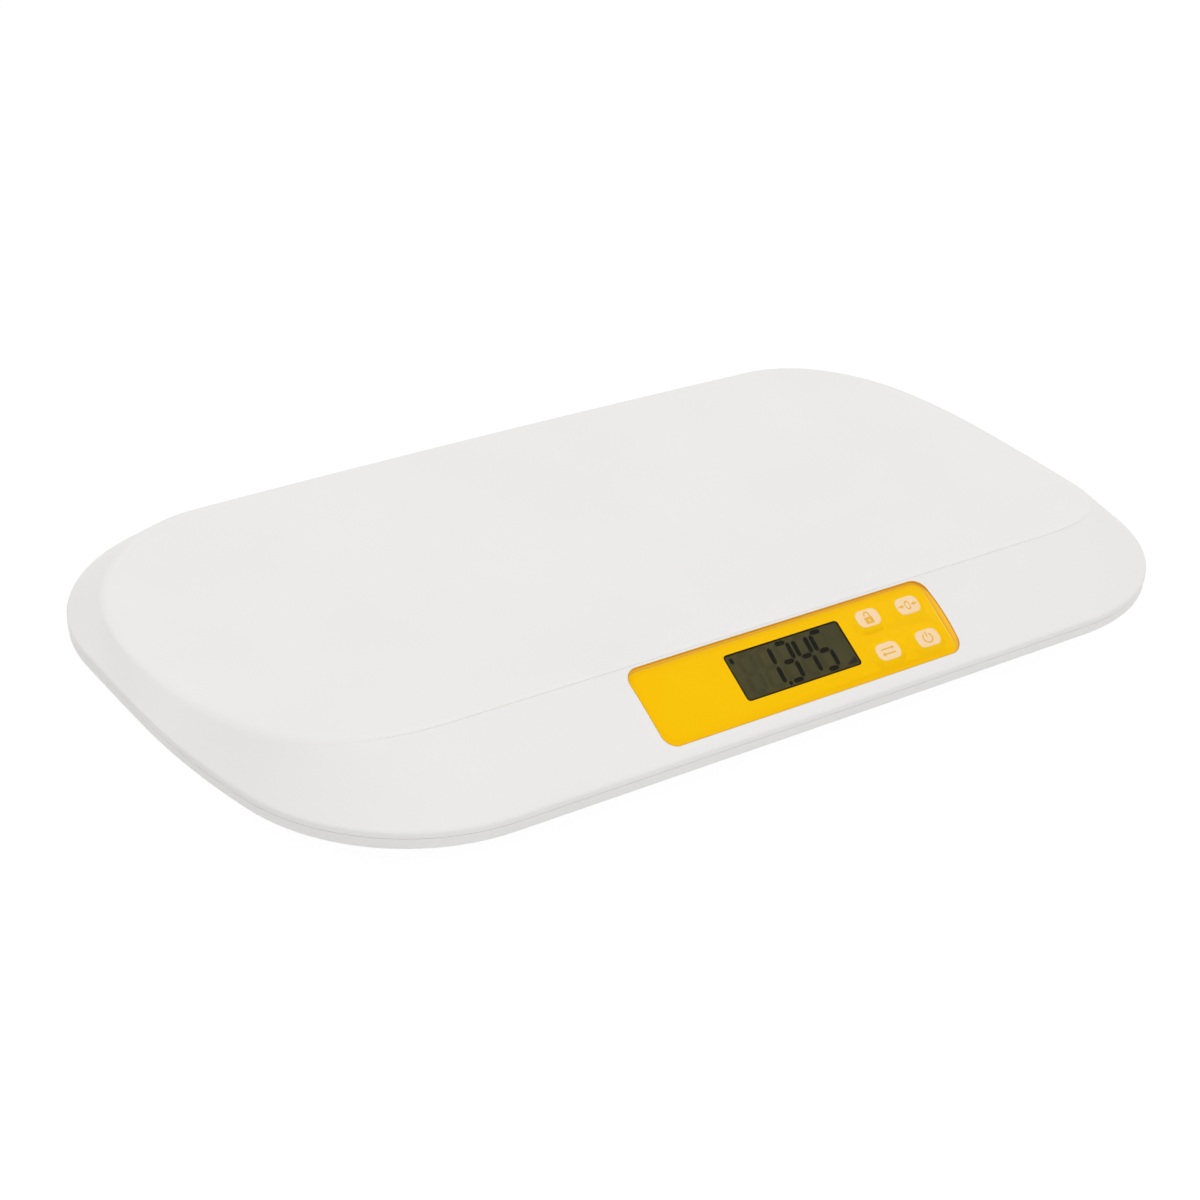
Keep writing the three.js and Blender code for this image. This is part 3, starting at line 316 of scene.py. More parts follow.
# Liquid crystal cell with a reflective film under its polariser: dark olive with a soft shine
POLARISER = Finish("reflective_polariser_film", "#4A472D", "#413F29", roughness=0.35, specular=0.12,
                   grain=1.2, grain_height=0.001, mottle=24.0)
# Switched segments: near black, without the film's shine
LIT_SEGMENT = Finish("switched_liquid_crystal", "#0C0C08", "#10100B", roughness=0.35, specular=0.1)
# Resting segments: a shade under the film's own colour, so the unlit digits just show
UNLIT_SEGMENT = Finish("resting_liquid_crystal", "#424029", "#3B3A26", roughness=0.35, specular=0.12,
                       mottle=24.0)
# ABS with carbon black: satin, deep grey where light grazes it
BLACK_ABS = Finish("moulded_black_abs", "#1D1D1E", "#222223", roughness=0.45, grain=0.7,
                   grain_height=0.008)
# Contact strips of silicone in conducting and insulating layers: fine dark red and grey stripes
CONTACT_RUBBER = Finish("layered_contact_rubber", "#8E3F4B", "#52525A", roughness=0.7, grain=0.3,
                        mottle=0.6)
# Glass-fibre laminate under green solder resist: glossy, with the weave faintly printed through
SOLDER_RESIST = Finish("glass_epoxy_laminate", "#1F6B3A", "#1A5C33", roughness=0.3, coat=0.4, grain=0.5,
                       mottle=3.0)
# Epoxy moulded round the chip: dull black with a fine tooth
EPOXY = Finish("moulded_black_epoxy", "#17181A", "#1F2022", roughness=0.6, grain=0.2, grain_height=0.006)
# Nylon sockets in their natural colour: waxy and slightly see-through
NYLON = Finish("moulded_natural_nylon", "#EAE3CF", "#E4DCC6", roughness=0.45, ior=1.53, subsurface=0.05,
               grain=0.6)
# Zinc-plated steel: bright and slightly blue with fine drawn marks
ZINC_PLATE = Finish("zinc_plated_steel", "#C3C6CA", "#B4B8BE", roughness=0.28, metallic=1.0, grain=0.35,
                    grain_height=0.003, mottle=2.5, gloss_change=0.08)
# Rolled spring steel: brushed along X, duller than the plating
SPRING_STEEL = Finish("rolled_spring_steel", "#A9AAAB", "#9A9C9F", roughness=0.34, metallic=1.0,
                      grain=0.3, stretch=(0.08, 1.0, 1.0), mottle=6.0, gloss_change=0.08)
# Thermoplastic rubber feet: matt grey, gripping skin
FOOT_RUBBER = Finish("moulded_grey_elastomer", "#8D8F90", "#868889", roughness=0.82, grain=0.5,
                     grain_height=0.02, mottle=8.0)
# Vinyl sleeve shrunk over the cells: dark, glossy, faintly rippled
CELL_FILM = Finish("shrunk_vinyl_sleeve", "#23262B", "#2B2F36", roughness=0.3, coat=0.3, grain=1.5,
                   grain_height=0.01, mottle=5.0)
# Vinyl drawn over the leads: smooth dark grey
LEAD_VINYL = Finish("extruded_vinyl_sheath", "#2C2D30", "#343539", roughness=0.5, grain=0.5)

SLOT_FINISH = {
    Slot.SHELL: WHITE_ABS, Slot.KEY: PEACH_SILICONE, Slot.BLACK: BLACK_ABS,
    Slot.STRIP: CONTACT_RUBBER, Slot.BOARD: SOLDER_RESIST, Slot.CHIP: EPOXY, Slot.SOCKET: NYLON,
    Slot.PLATED: ZINC_PLATE, Slot.SPRING: SPRING_STEEL, Slot.FOOT: FOOT_RUBBER,
    Slot.WRAP: CELL_FILM, Slot.LEAD: LEAD_VINYL,
}


@dataclass(frozen=True)
class Acrylic(Coating):
    """Clear acrylic sheet, polished and coated against glare: the print shows through undimmed,
    with no reflection when faced and a clean one that grows towards a flat view.

    The sheet is thin and flat, so light passes straight through; only faces turned out mirror.
    The mirrored share is (Fresnel - coated) * glare share, where the coating takes away what
    plain acrylic would mirror when faced.
    """

    name: str = "coated_clear_acrylic"
    colour: str = "#FFFEFA"
    roughness: float = 0.03
    roughness_change: float = 0.015
    haze: float = 25.0
    ior: float = 1.49
    coated: float = 0.042
    glare_share: float = 0.6

    def surface(self, tree: Tree) -> Socket:
        """Mixes what shows through with the mirror image.

        Args:
            tree: the material's node tree.

        Returns:
            The shader's socket.
        """
        haze = noise(tree, on_piece(tree), self.haze)
        gloss = ranged(tree, haze, self.roughness - self.roughness_change,
                       self.roughness + self.roughness_change)
        mirror = add_node(tree, "ShaderNodeBsdfAnisotropic", {"Roughness": gloss}, Color=WHITE_LIGHT)
        through = add_node(tree, "ShaderNodeBsdfTransparent", Color=linear(self.colour))
        glance = add_node(tree, "ShaderNodeFresnel", IOR=self.ior)
        inner = add_node(tree, "ShaderNodeNewGeometry", output="Backfacing")
        share = worked(tree, "MULTIPLY", worked(tree, "SUBTRACT", glance, self.coated),
                       worked(tree, "SUBTRACT", self.glare_share, inner), clamp=True)
        return mixed(tree, share, through, mirror)


@dataclass(frozen=True)
class RimInkWithPaintedShade(Coating):
    """Yellow ink on the panel's rising rim, with the lens edge's shade and highlight painted in: a darker
    orange line along the outline, then gold, a darker band and a pale highlight line.

    It follows the piece's own attribute "edge", 0 at the outline and 1 at the flat print.
    """

    name: str = "rim_ink_with_painted_edge_shade"
    roughness: float = 0.5
    specular: float = 0.1
    # Painted shade and highlight of the lens edge: darker orange at the outline and in the band at 0.74, a
    # pale highlight line at 0.84, on the ink's own yellow
    colours: tuple[tuple[float, str], ...] = (
        (0.0, "#DCA21E"), (0.1, "#EDB232"), (0.2, "#FFC93E"), (0.62, "#FAC02E"), (0.74, "#D8A01C"),
        (0.84, "#FFDA4C"), (1.0, "#FCCA10"))

    def surface(self, tree: Tree) -> Socket:
        """Colours the ink, with its painted edge shade and highlight, by the attribute.

        Args:
            tree: the material's node tree.

        Returns:
            The shader's socket.
        """
        edge = add_node(tree, "ShaderNodeAttribute", output="Fac", attribute_name="edge")
        return add_node(tree, "ShaderNodeBsdfPrincipled", {"Base Color": ramped(tree, edge, self.colours)},
                        Roughness=self.roughness, Specular_IOR_Level=self.specular)


@dataclass(frozen=True)
class FloorPaint(Coating):
    """Painted studio floor that looks nearly white and still keeps the object's shadow."""

    name: str = "painted_studio_floor"
    colour: str = "#FAFAFA"
    white_share: float = 0.9
    glow: float = 1.06
    grain: float = 40.0
    grain_height: float = 0.02

    def surface(self, tree: Tree) -> Socket:
        """Mixes the paint with plain white where the floor is seen.

        Args:
            tree: the material's node tree.

        Returns:
            The shader's socket.
        """
        normal = bumped(tree, noise(tree, on_piece(tree), self.grain), self.grain_height)
        paint = add_node(tree, "ShaderNodeBsdfDiffuse", {"Normal": normal}, Color=linear(self.colour))
        glow = add_node(tree, "ShaderNodeEmission", Color=WHITE_LIGHT, Strength=self.glow)
        return mixed(tree, worked(tree, "MULTIPLY", seen(tree), self.white_share), paint, glow)


# ---------------------------------------------------------------- shapes


def level(points: np.ndarray, height: float | np.ndarray) -> np.ndarray:
    """Gives plan points (N, 2) a height and returns (N, 3)."""
    return np.column_stack([points, np.broadcast_to(height, len(points))])


def bezier(start: np.ndarray, middle: np.ndarray, end: np.ndarray, steps: int) -> list[np.ndarray]:
    """Rings of the curve (1-t)^2 start + 2t(1-t) middle + t^2 end, for t from 0 to 1, both ends in."""
    shares = np.linspace(0, 1, steps + 1)
    return [(1 - t) ** 2 * start + 2 * t * (1 - t) * middle + t * t * end for t in shares]


def ruled(start: np.ndarray, end: np.ndarray, steps: int) -> list[np.ndarray]:
    """Rings between two rings, at even shares, without the two themselves."""
    return [start + t * (end - start) for t in np.linspace(0, 1, steps + 1)[1:-1]]


def lofted(rings: list[np.ndarray], cap: Cap = Cap.FAN) -> Mesh:
    """Carries quads through rings: point i of ring k joins point i+1 and point i of ring k+1.

    Args:
        rings: arrays (N, 3) of one length.
        cap: how the two ends are closed.

    Returns:
        Vertices and faces of a closed mesh.
    """
    stack = np.stack(rings)
    count, size = stack.shape[:2]
    index = np.arange(count * size).reshape(count, size)
    if cap is Cap.RING:
        index = np.vstack([index, index[:1]])
    ahead = np.roll(index, -1, axis=1)
    quads = np.stack([index[:-1], ahead[:-1], ahead[1:], index[1:]], axis=-1).reshape(-1, 4)
    vertices, faces = stack.reshape(-1, 3), quads.tolist()
    if cap is Cap.FLAT:
        faces += [index[0][::-1].tolist(), index[-1].tolist()]
    if cap is Cap.FAN:
        poles = np.stack([stack[0].mean(axis=0), stack[-1].mean(axis=0)])
        vertices = np.vstack([vertices, poles])
        first = np.stack([ahead[0], index[0], np.full(size, count * size)], axis=-1)
        last = np.stack([index[-1], ahead[-1], np.full(size, count * size + 1)], axis=-1)
        faces += np.vstack([first, last]).tolist()
    return vertices, faces


def prism(points: np.ndarray, low: float, high: float) -> Mesh:
    """Extrudes plan points between two heights, with flat ends.

    The outline is first turned anticlockwise, by the sign of sum(x_i y_i+1 - x_i+1 y_i), so that
    the faces point outward.

    Args:
        points: the outline (N, 2).
        low: lower height.
        high: upper height.

    Returns:
        A closed mesh.
    """
    ahead = np.roll(points, -1, axis=0)
    if np.sum(points[:, 0] * ahead[:, 1] - ahead[:, 0] * points[:, 1]) < 0:
        points = points[::-1]
    return lofted([level(points, low), level(points, high)], Cap.FLAT)


def rectangle(left: float, right: float, front: float, back: float) -> np.ndarray:
    """Plan points of a rectangle between its limits."""
    return np.array([[left, front], [right, front], [right, back], [left, back]])


def block(left: float, right: float, front: float, back: float, low: float, high: float) -> Mesh:
    """A box between three pairs of limits."""
    return prism(rectangle(left, right, front, back), low, high)


def fan(start: float, end: float, steps: int, whole: bool = True) -> np.ndarray:
    """Unit steps (cos t, sin t) from one angle to another, with or without the last."""
    turn = np.linspace(start, end, steps, endpoint=whole)
    return np.column_stack([np.cos(turn), np.sin(turn)])


def circle(radius: float, steps: int = 48) -> np.ndarray:
    """Plan points (radius cos t, radius sin t)."""
    return radius * fan(0, 2 * math.pi, steps, False)


def turned(profile: Table | list, steps: int = 48, cap: Cap = Cap.FAN) -> Mesh:
    """Turns a profile of (radius, height) about the vertical axis."""
    return lofted([level(circle(radius, steps), height) for radius, height in profile], cap)


def rod(radius: float, low: float, high: float, steps: int = 32) -> Mesh:
    """An upright round rod."""
    return prism(circle(radius, steps), low, high)


def moved(mesh: Mesh, x: float, y: float, z: float = 0.0) -> Mesh:
    """Shifts a mesh."""
    return mesh[0] + np.array([x, y, z]), mesh[1]


def copies(places: tuple | list, *meshes: Mesh) -> list[Mesh]:
    """Copies of meshes at each place, given as x and y after any name."""
    return [moved(mesh, x, y) for *_, x, y in places for mesh in meshes]


def merged(meshes: list[Mesh]) -> Mesh:
    """Puts separate meshes into one.

    Args:
        meshes: meshes that don't overlap.

    Returns:
        All their vertices and faces.
    """
    starts = np.cumsum([0] + [len(points) for points, _ in meshes]).tolist()
    faces = [[corner + start for corner in side]
             for start, (_, sides) in zip(starts, meshes) for side in sides]
    return np.vstack([points for points, _ in meshes]), faces


def rounded_rectangle(length: float, width: float, corner: float, steps: int = 8) -> np.ndarray:
    """Plan points of a rectangle about the origin whose corners are quarter circles.

    Args:
        length: its size along x.
        width: its size along y.
        corner: radius of its corners.
        steps: steps of each corner.

    Returns:
        Points (N, 2), anticlockwise.
    """
    signs = ((1, 1), (-1, 1), (-1, -1), (1, -1))
    centre, quarter = np.array([length / 2 - corner, width / 2 - corner]), math.pi / 2
    return np.vstack([centre * sign + corner * fan(number * quarter, (number + 1) * quarter, steps + 1)
                      for number, sign in enumerate(signs)])


@dataclass(frozen=True)
class Quarter:
    """A quarter of a rounded outline: a bowed end, a corner and a bowed side, as three arcs."""

    width: float
    corner: float
    end_degrees: float
    side_degrees: float

    def arcs(self, half_length: float, inset: float, steps: tuple[int, int, int]) -> np.ndarray:
        """Points on the three arcs, each (centre + radius (cos t, sin t)), with their normals.

        The end's radius R1 and the side's radius R2 are the ones that meet the corner's arc in
        line: they solve the two equations for the corner's centre, seen from either side.

        Args:
            half_length: from the middle to the end.
            inset: how far the outline is drawn in.
            steps: steps of the end, the corner and the side.

        Returns:
            Array (N + 1, 4) of x, y and the outward normal, from the end to the side's middle.
        """
        end, side = math.radians(self.end_degrees), math.radians(self.side_degrees)
        cos_end, sin_end, cos_side, sin_side = math.cos(end), math.sin(end), math.cos(side), math.sin(side)
        along_x = half_length - self.corner * (cos_end - sin_side)
        along_y = self.width - self.corner * (cos_side - sin_end)
        scale = (1 - cos_end) * (1 - cos_side) - sin_end * sin_side
        end_radius = (along_x * (1 - cos_side) - along_y * sin_side) / scale
        side_radius = (along_y * (1 - cos_end) - along_x * sin_end) / scale
        reach = end_radius - self.corner
        centres = [(half_length - end_radius, 0.0),
                   (half_length - end_radius + reach * cos_end, reach * sin_end),
                   (0.0, self.width - side_radius)]
        radii = [end_radius, self.corner, side_radius]
        limits = [0.0, end, math.pi / 2 - side, math.pi / 2]
        runs = []
        for number, (centre, radius) in enumerate(zip(centres, radii)):
            out = fan(limits[number], limits[number + 1], steps[number] + 1)
            out = out if number == 2 else out[:-1]
            runs.append(np.hstack([np.array(centre) + (radius - inset) * out, out]))
        return np.vstack(runs)


@dataclass(frozen=True)
class Plan:
    """A closed outline made of a back and a front half."""

    half_length: float
    middle_y: float
    back: Quarter
    front: Quarter
    steps: tuple[int, int, int] = (10, 26, 12)

    def ring(self, inset: float = 0.0) -> tuple[np.ndarray, np.ndarray]:
        """Points and outward normals, anticlockwise from the right end.

        Args:
            inset: how far the outline is drawn in.

        Returns:
            Two arrays (N, 2).
        """
        back = self.back.arcs(self.half_length, inset, self.steps)
        front = self.front.arcs(self.half_length, inset, self.steps)
        flip_x, flip_y = np.array([-1, 1, -1, 1]), np.array([1, -1, 1, -1])
        whole = np.vstack([back[:-1], (back * flip_x)[::-1][:-1], (front * flip_x * flip_y)[:-1],
                           (front * flip_y)[::-1][:-1]])
        return whole[:, :2] + np.array([0.0, self.middle_y]), whole[:, 2:]

    def at(self, inset: float, height: float) -> np.ndarray:
        """The outline drawn in, at a height."""
        return level(self.ring(inset)[0], height)


# ---------------------------------------------------------------- forms


def link(name: str, mesh: Mesh) -> bpy.types.Object:
    """Makes an object at the origin, with its faces turned outward.

    Args:
        name: its name.
        mesh: its mesh in millimetres.

    Returns:
        The object.
    """
    data = bpy.data.meshes.new(name)
    data.from_pydata((mesh[0] * MM).tolist(), [], mesh[1])
    work = bmesh.new()
    work.from_mesh(data)
    if work.calc_volume(signed=True) < 0:
        bmesh.ops.reverse_faces(work, faces=work.faces)
    work.to_mesh(data)
    work.free()
    return put(data)


def put(data: bpy.types.Mesh | bpy.types.Light | bpy.types.Camera) -> bpy.types.Object:
    """Puts a mesh, a light or a camera into the scene.

    Args:
        data: what the object shows.

    Returns:
        The new object.
    """
    thing = bpy.data.objects.new(data.name, data)
    bpy.context.scene.collection.objects.link(thing)
    return thing


def bake(thing: bpy.types.Object) -> None:
    """Turns an object's modifiers into its own mesh.

    Args:
        thing: the object.
    """
    shape = thing.evaluated_get(bpy.context.evaluated_depsgraph_get())
    data = bpy.data.meshes.new_from_object(shape)
    thing.modifiers.clear()
    old, thing.data = thing.data, data
    bpy.data.meshes.remove(old)


def combine(form: Form, operation: Operation, tools: list[Form]) -> bpy.types.Object:
    """Joins, cuts or trims a closed form with each tool in turn, and uses the tools up.

    Args:
        form: the object that changes, or a mesh in millimetres.
        operation: what the tools do.
        tools: closed objects, or meshes in millimetres.

    Returns:
        The object.
    """
    thing, *helpers = [link("form", each) if isinstance(each, tuple) else each for each in (form, *tools)]
    for helper in helpers:
        change = thing.modifiers.new("change", "BOOLEAN")
        change.operation, change.solver, change.object = operation.value, "MANIFOLD", helper
    bake(thing)
    for helper in helpers:
        bpy.data.meshes.remove(helper.data)
    return thing


def dress(form: Form, name: str, finish: Coating, slot: Slot, node: str = "", body: str = "housing",
          smooth_degrees: float = 32.0) -> bpy.types.Object:
    """Names a finished form, shades it, gives it its material and ties it to the model.

    Args:
        form: the object, or a mesh in millimetres.
        name: the piece's name.
        finish: what it is made of.
        slot: the record's slot; not used.
        node: the CAD node that it stands for, if any.
        body: the body that it rides on.
        smooth_degrees: edges sharper than this stay sharp.

    Returns:
        The object.
    """
    thing = link(name, form) if isinstance(form, tuple) else form
    thing.name = thing.data.name = name
    thing.data.shade_smooth()
    thing.data.set_sharp_from_angle(angle=math.radians(smooth_degrees))
    thing.data.materials.clear()
    thing.data.materials.append(finish.material())
    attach(thing, body)
    if node:
        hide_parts(node)
    LOG.info("%s: %d faces", name, len(thing.data.polygons))
    return thing


# ---------------------------------------------------------------- housing


@dataclass(frozen=True)
class Housing:
    """The sizes that both shells share, and the two outlines they are drawn from."""

    length: float = 550.0
    width: float = 330.0
    wall: float = 2.4
    floor_z: float = 6.0
    parting_z: float = 24.0
    edge_z: float = 27.1
    dish_z: float = 37.5
    dish_radius: float = 612.0
    dish_centre_y: float = 23.0
    seat_gap: float = 0.3
    loose_gap: float = 0.4
    rib: float = 1.6
    foot_x: float = 195.0
    foot_y: float = 95.0
    column_top_z: float = 20.0
    screw_radius: float = 1.5
    outline: Plan = Plan(275.0, 0.0, Quarter(165.0, 106.0, 0.6, 0.2), Quarter(165.0, 96.0, 11.6, 0.2))
    crease: Plan = Plan(263.5, 32.0, Quarter(103.0, 83.0, 18.0, 1.15), Quarter(151.5, 72.0, 16.0, 0.35))
    screws: tuple[tuple[str, float, float], ...] = (
        ("left", -225.0, 0.0), ("right", 225.0, 0.0), ("back_left", -150.0, 122.0),
        ("back_middle", 0.0, 122.0), ("back_right", 150.0, 122.0), ("front_left", -150.0, -122.0),
        ("front_middle", 0.0, -95.0), ("front_right", 150.0, -122.0))

    @property
    def feet(self) -> list[tuple[str, float, float]]:
        """Name and place of each foot."""
        return [(f"{row}_{side}", x, y) for row, y in (("front", -self.foot_y), ("back", self.foot_y))
                for side, x in (("left", -self.foot_x), ("right", self.foot_x))]

    def dish(self, y: np.ndarray | float) -> np.ndarray:
        """Height of the dish: low + R - sqrt(R^2 - (y - middle)^2), an arc across the scale."""
        away = np.asarray(y) - self.dish_centre_y
        return self.dish_z + self.dish_radius - np.sqrt(self.dish_radius ** 2 - away ** 2)

    def ribs(self, low: float, high: float) -> list[Mesh]:
        """Plates on a grid through the screws and the feet, which overlap where they cross.

        Args:
            low: their lower edge.
            high: their upper edge.

        Returns:
            Ten blocks.
        """
        half, end = self.rib / 2, max(x for _, x, _ in self.screws)
        plates = [block(x - half, x + half, -self.width / 2, self.width / 2, low, high)
                  for x in np.linspace(-end, end, 7)]
        return plates + [block(-self.length / 2, self.length / 2, y - half, y + half, low, high)
                         for y in (-self.foot_y, 0, self.foot_y)]


@dataclass(frozen=True)
class Slope:
    """The front rim's plane: x along it, v up it and w out of it."""

    foot_y: float = -164.5
    foot_z: float = 27.1
    degrees: float = 31.1704

    def place(self, mesh: Mesh) -> Mesh:
        """Moves a mesh given as x, v, w onto the slope: foot + v (cos, sin) + w (-sin, cos).

        Args:
            mesh: the mesh.

        Returns:
            The mesh in x, y, z.
        """
        x, v, w = mesh[0].T
        cos, sin = math.cos(math.radians(self.degrees)), math.sin(math.radians(self.degrees))
        return np.column_stack([x, self.foot_y + v * cos - w * sin, self.foot_z + v * sin + w * cos]), mesh[1]

    def places(self, meshes: list[Mesh]) -> list[Mesh]:
        """Moves each mesh onto the slope."""
        return [self.place(mesh) for mesh in meshes]


@dataclass(frozen=True)
class Panel:
    """The display panel's places on the slope, shared by the shell, the lens and the keys."""

    centre_x: float = 0.7
    centre_v: float = 28.0
    thickness: float = 2.0
    bed_thickness: float = 2.0
    plan: Plan = Plan(91.5, 0.0, Quarter(21.8, 8.0, 8.0, 0.1), Quarter(21.8, 8.0, 8.0, 0.1),
                      (12, 10, 8))
    side_ink: float = 0.26
    rim: float = 1.15
    rim_more_above: float = 0.9
    rim_more_right: float = 2.4
    rim_steep: float = 0.3
    rim_steep_above: float = 0.35
    rim_steep_right: float = 0.75
    rim_rise_limit: float = 1.5
    rim_lost_to_right: float = 0.6
    crescent_drop: float = 2.0
    left_shift: float = 1.3
    left_straight: float = 1.0
    straight_half: float = 14.9
    key_length: float = 13.6
    key_width: float = 9.2
    key_corner: float = 3.5
    keys: tuple[tuple[str, float, float], ...] = (
        ("lock", 49.7, 37.8), ("zero", 74.9, 37.8), ("unit", 49.7, 18.2), ("power", 74.9, 18.2))
    glass: tuple[float, float, float, float] = (-39.4, 35.6, 11.9, 45.9)
    posts: tuple[tuple[float, float], ...] = ((-48.4, 13.7), (-48.4, 42.3), (87.9, 13.7), (87.9, 42.3))

    def ring(self, inset: float = 0.0) -> tuple[np.ndarray, np.ndarray]:
        """The panel's outline on the slope, with its outward normals.

        The left end is straighter than the right one and lies further in below: x grows by
        (shift (1 - height share^3) + straight (1 - (y / straight half)^2)) (-n_x)^0.7.

        Args:
            inset: how far the outline is drawn in.

        Returns:
            Two arrays (N, 2).
        """
        points, out = self.plan.ring(inset)
        width = self.plan.back.width
        lower = 1 - np.clip((points[:, 1] + width) / (2 * width), 0, 1) ** 3
        middle = np.clip(1 - (points[:, 1] / self.straight_half) ** 2, 0, 1)
        shift = (self.left_shift * lower + self.left_straight * middle) * np.clip(-out[:, 0], 0, 1) ** 0.7
        return points + np.column_stack([shift + self.centre_x, np.full(len(shift), self.centre_v)]), out

    def outline(self, inset: float = 0.0) -> np.ndarray:
        """The panel's outline on the slope."""
        return self.ring(inset)[0]

    def flat_outline(self) -> tuple[np.ndarray, np.ndarray]:
        """Outline of the flat part of the print, and how far the rim rises from it to the edge.

        The rim is widest at the right end, as a crescent, and along the upper edge's left part:
        width = rim + above (1 - lost x share) n_v^4 + right n_x^2 cos(v share). Each of the three
        parts has its own steepness. The rim ink paints the lens edge's shade and highlight over this width,
        so they show widest in the crescent.

        Returns:
            Points (N, 2) on the slope and heights (N,).
        """
        points, out = self.ring()
        ahead = 0.5 + (points[:, 0] - self.centre_x) / (2 * self.plan.half_length)
        above = self.rim_more_above * (1 - self.rim_lost_to_right * ahead) * np.clip(out[:, 1], 0, 1) ** 4
        share = (points[:, 1] - self.centre_v + self.crescent_drop) / self.plan.back.width
        turn = np.clip(share, -1, 1) * math.pi / 2
        right = self.rim_more_right * np.clip(out[:, 0], 0, 1) ** 2 * np.cos(turn)
        width = self.rim + above + right
        rise = self.rim_steep * self.rim + self.rim_steep_above * above + self.rim_steep_right * right
        return points - width[:, None] * out, np.clip(rise, 0, self.rim_rise_limit)

    def key(self, growth: float) -> np.ndarray:
        """A key's outline about its middle, grown or shrunk."""
        return rounded_rectangle(self.key_length + 2 * growth, self.key_width + 2 * growth,
                                 self.key_corner + growth)

    def key_rings(self, profile: Table | list) -> list[np.ndarray]:
        """Rings about a key's middle, from a profile of (w, growth)."""
        return [level(self.key(growth), w) for w, growth in profile]


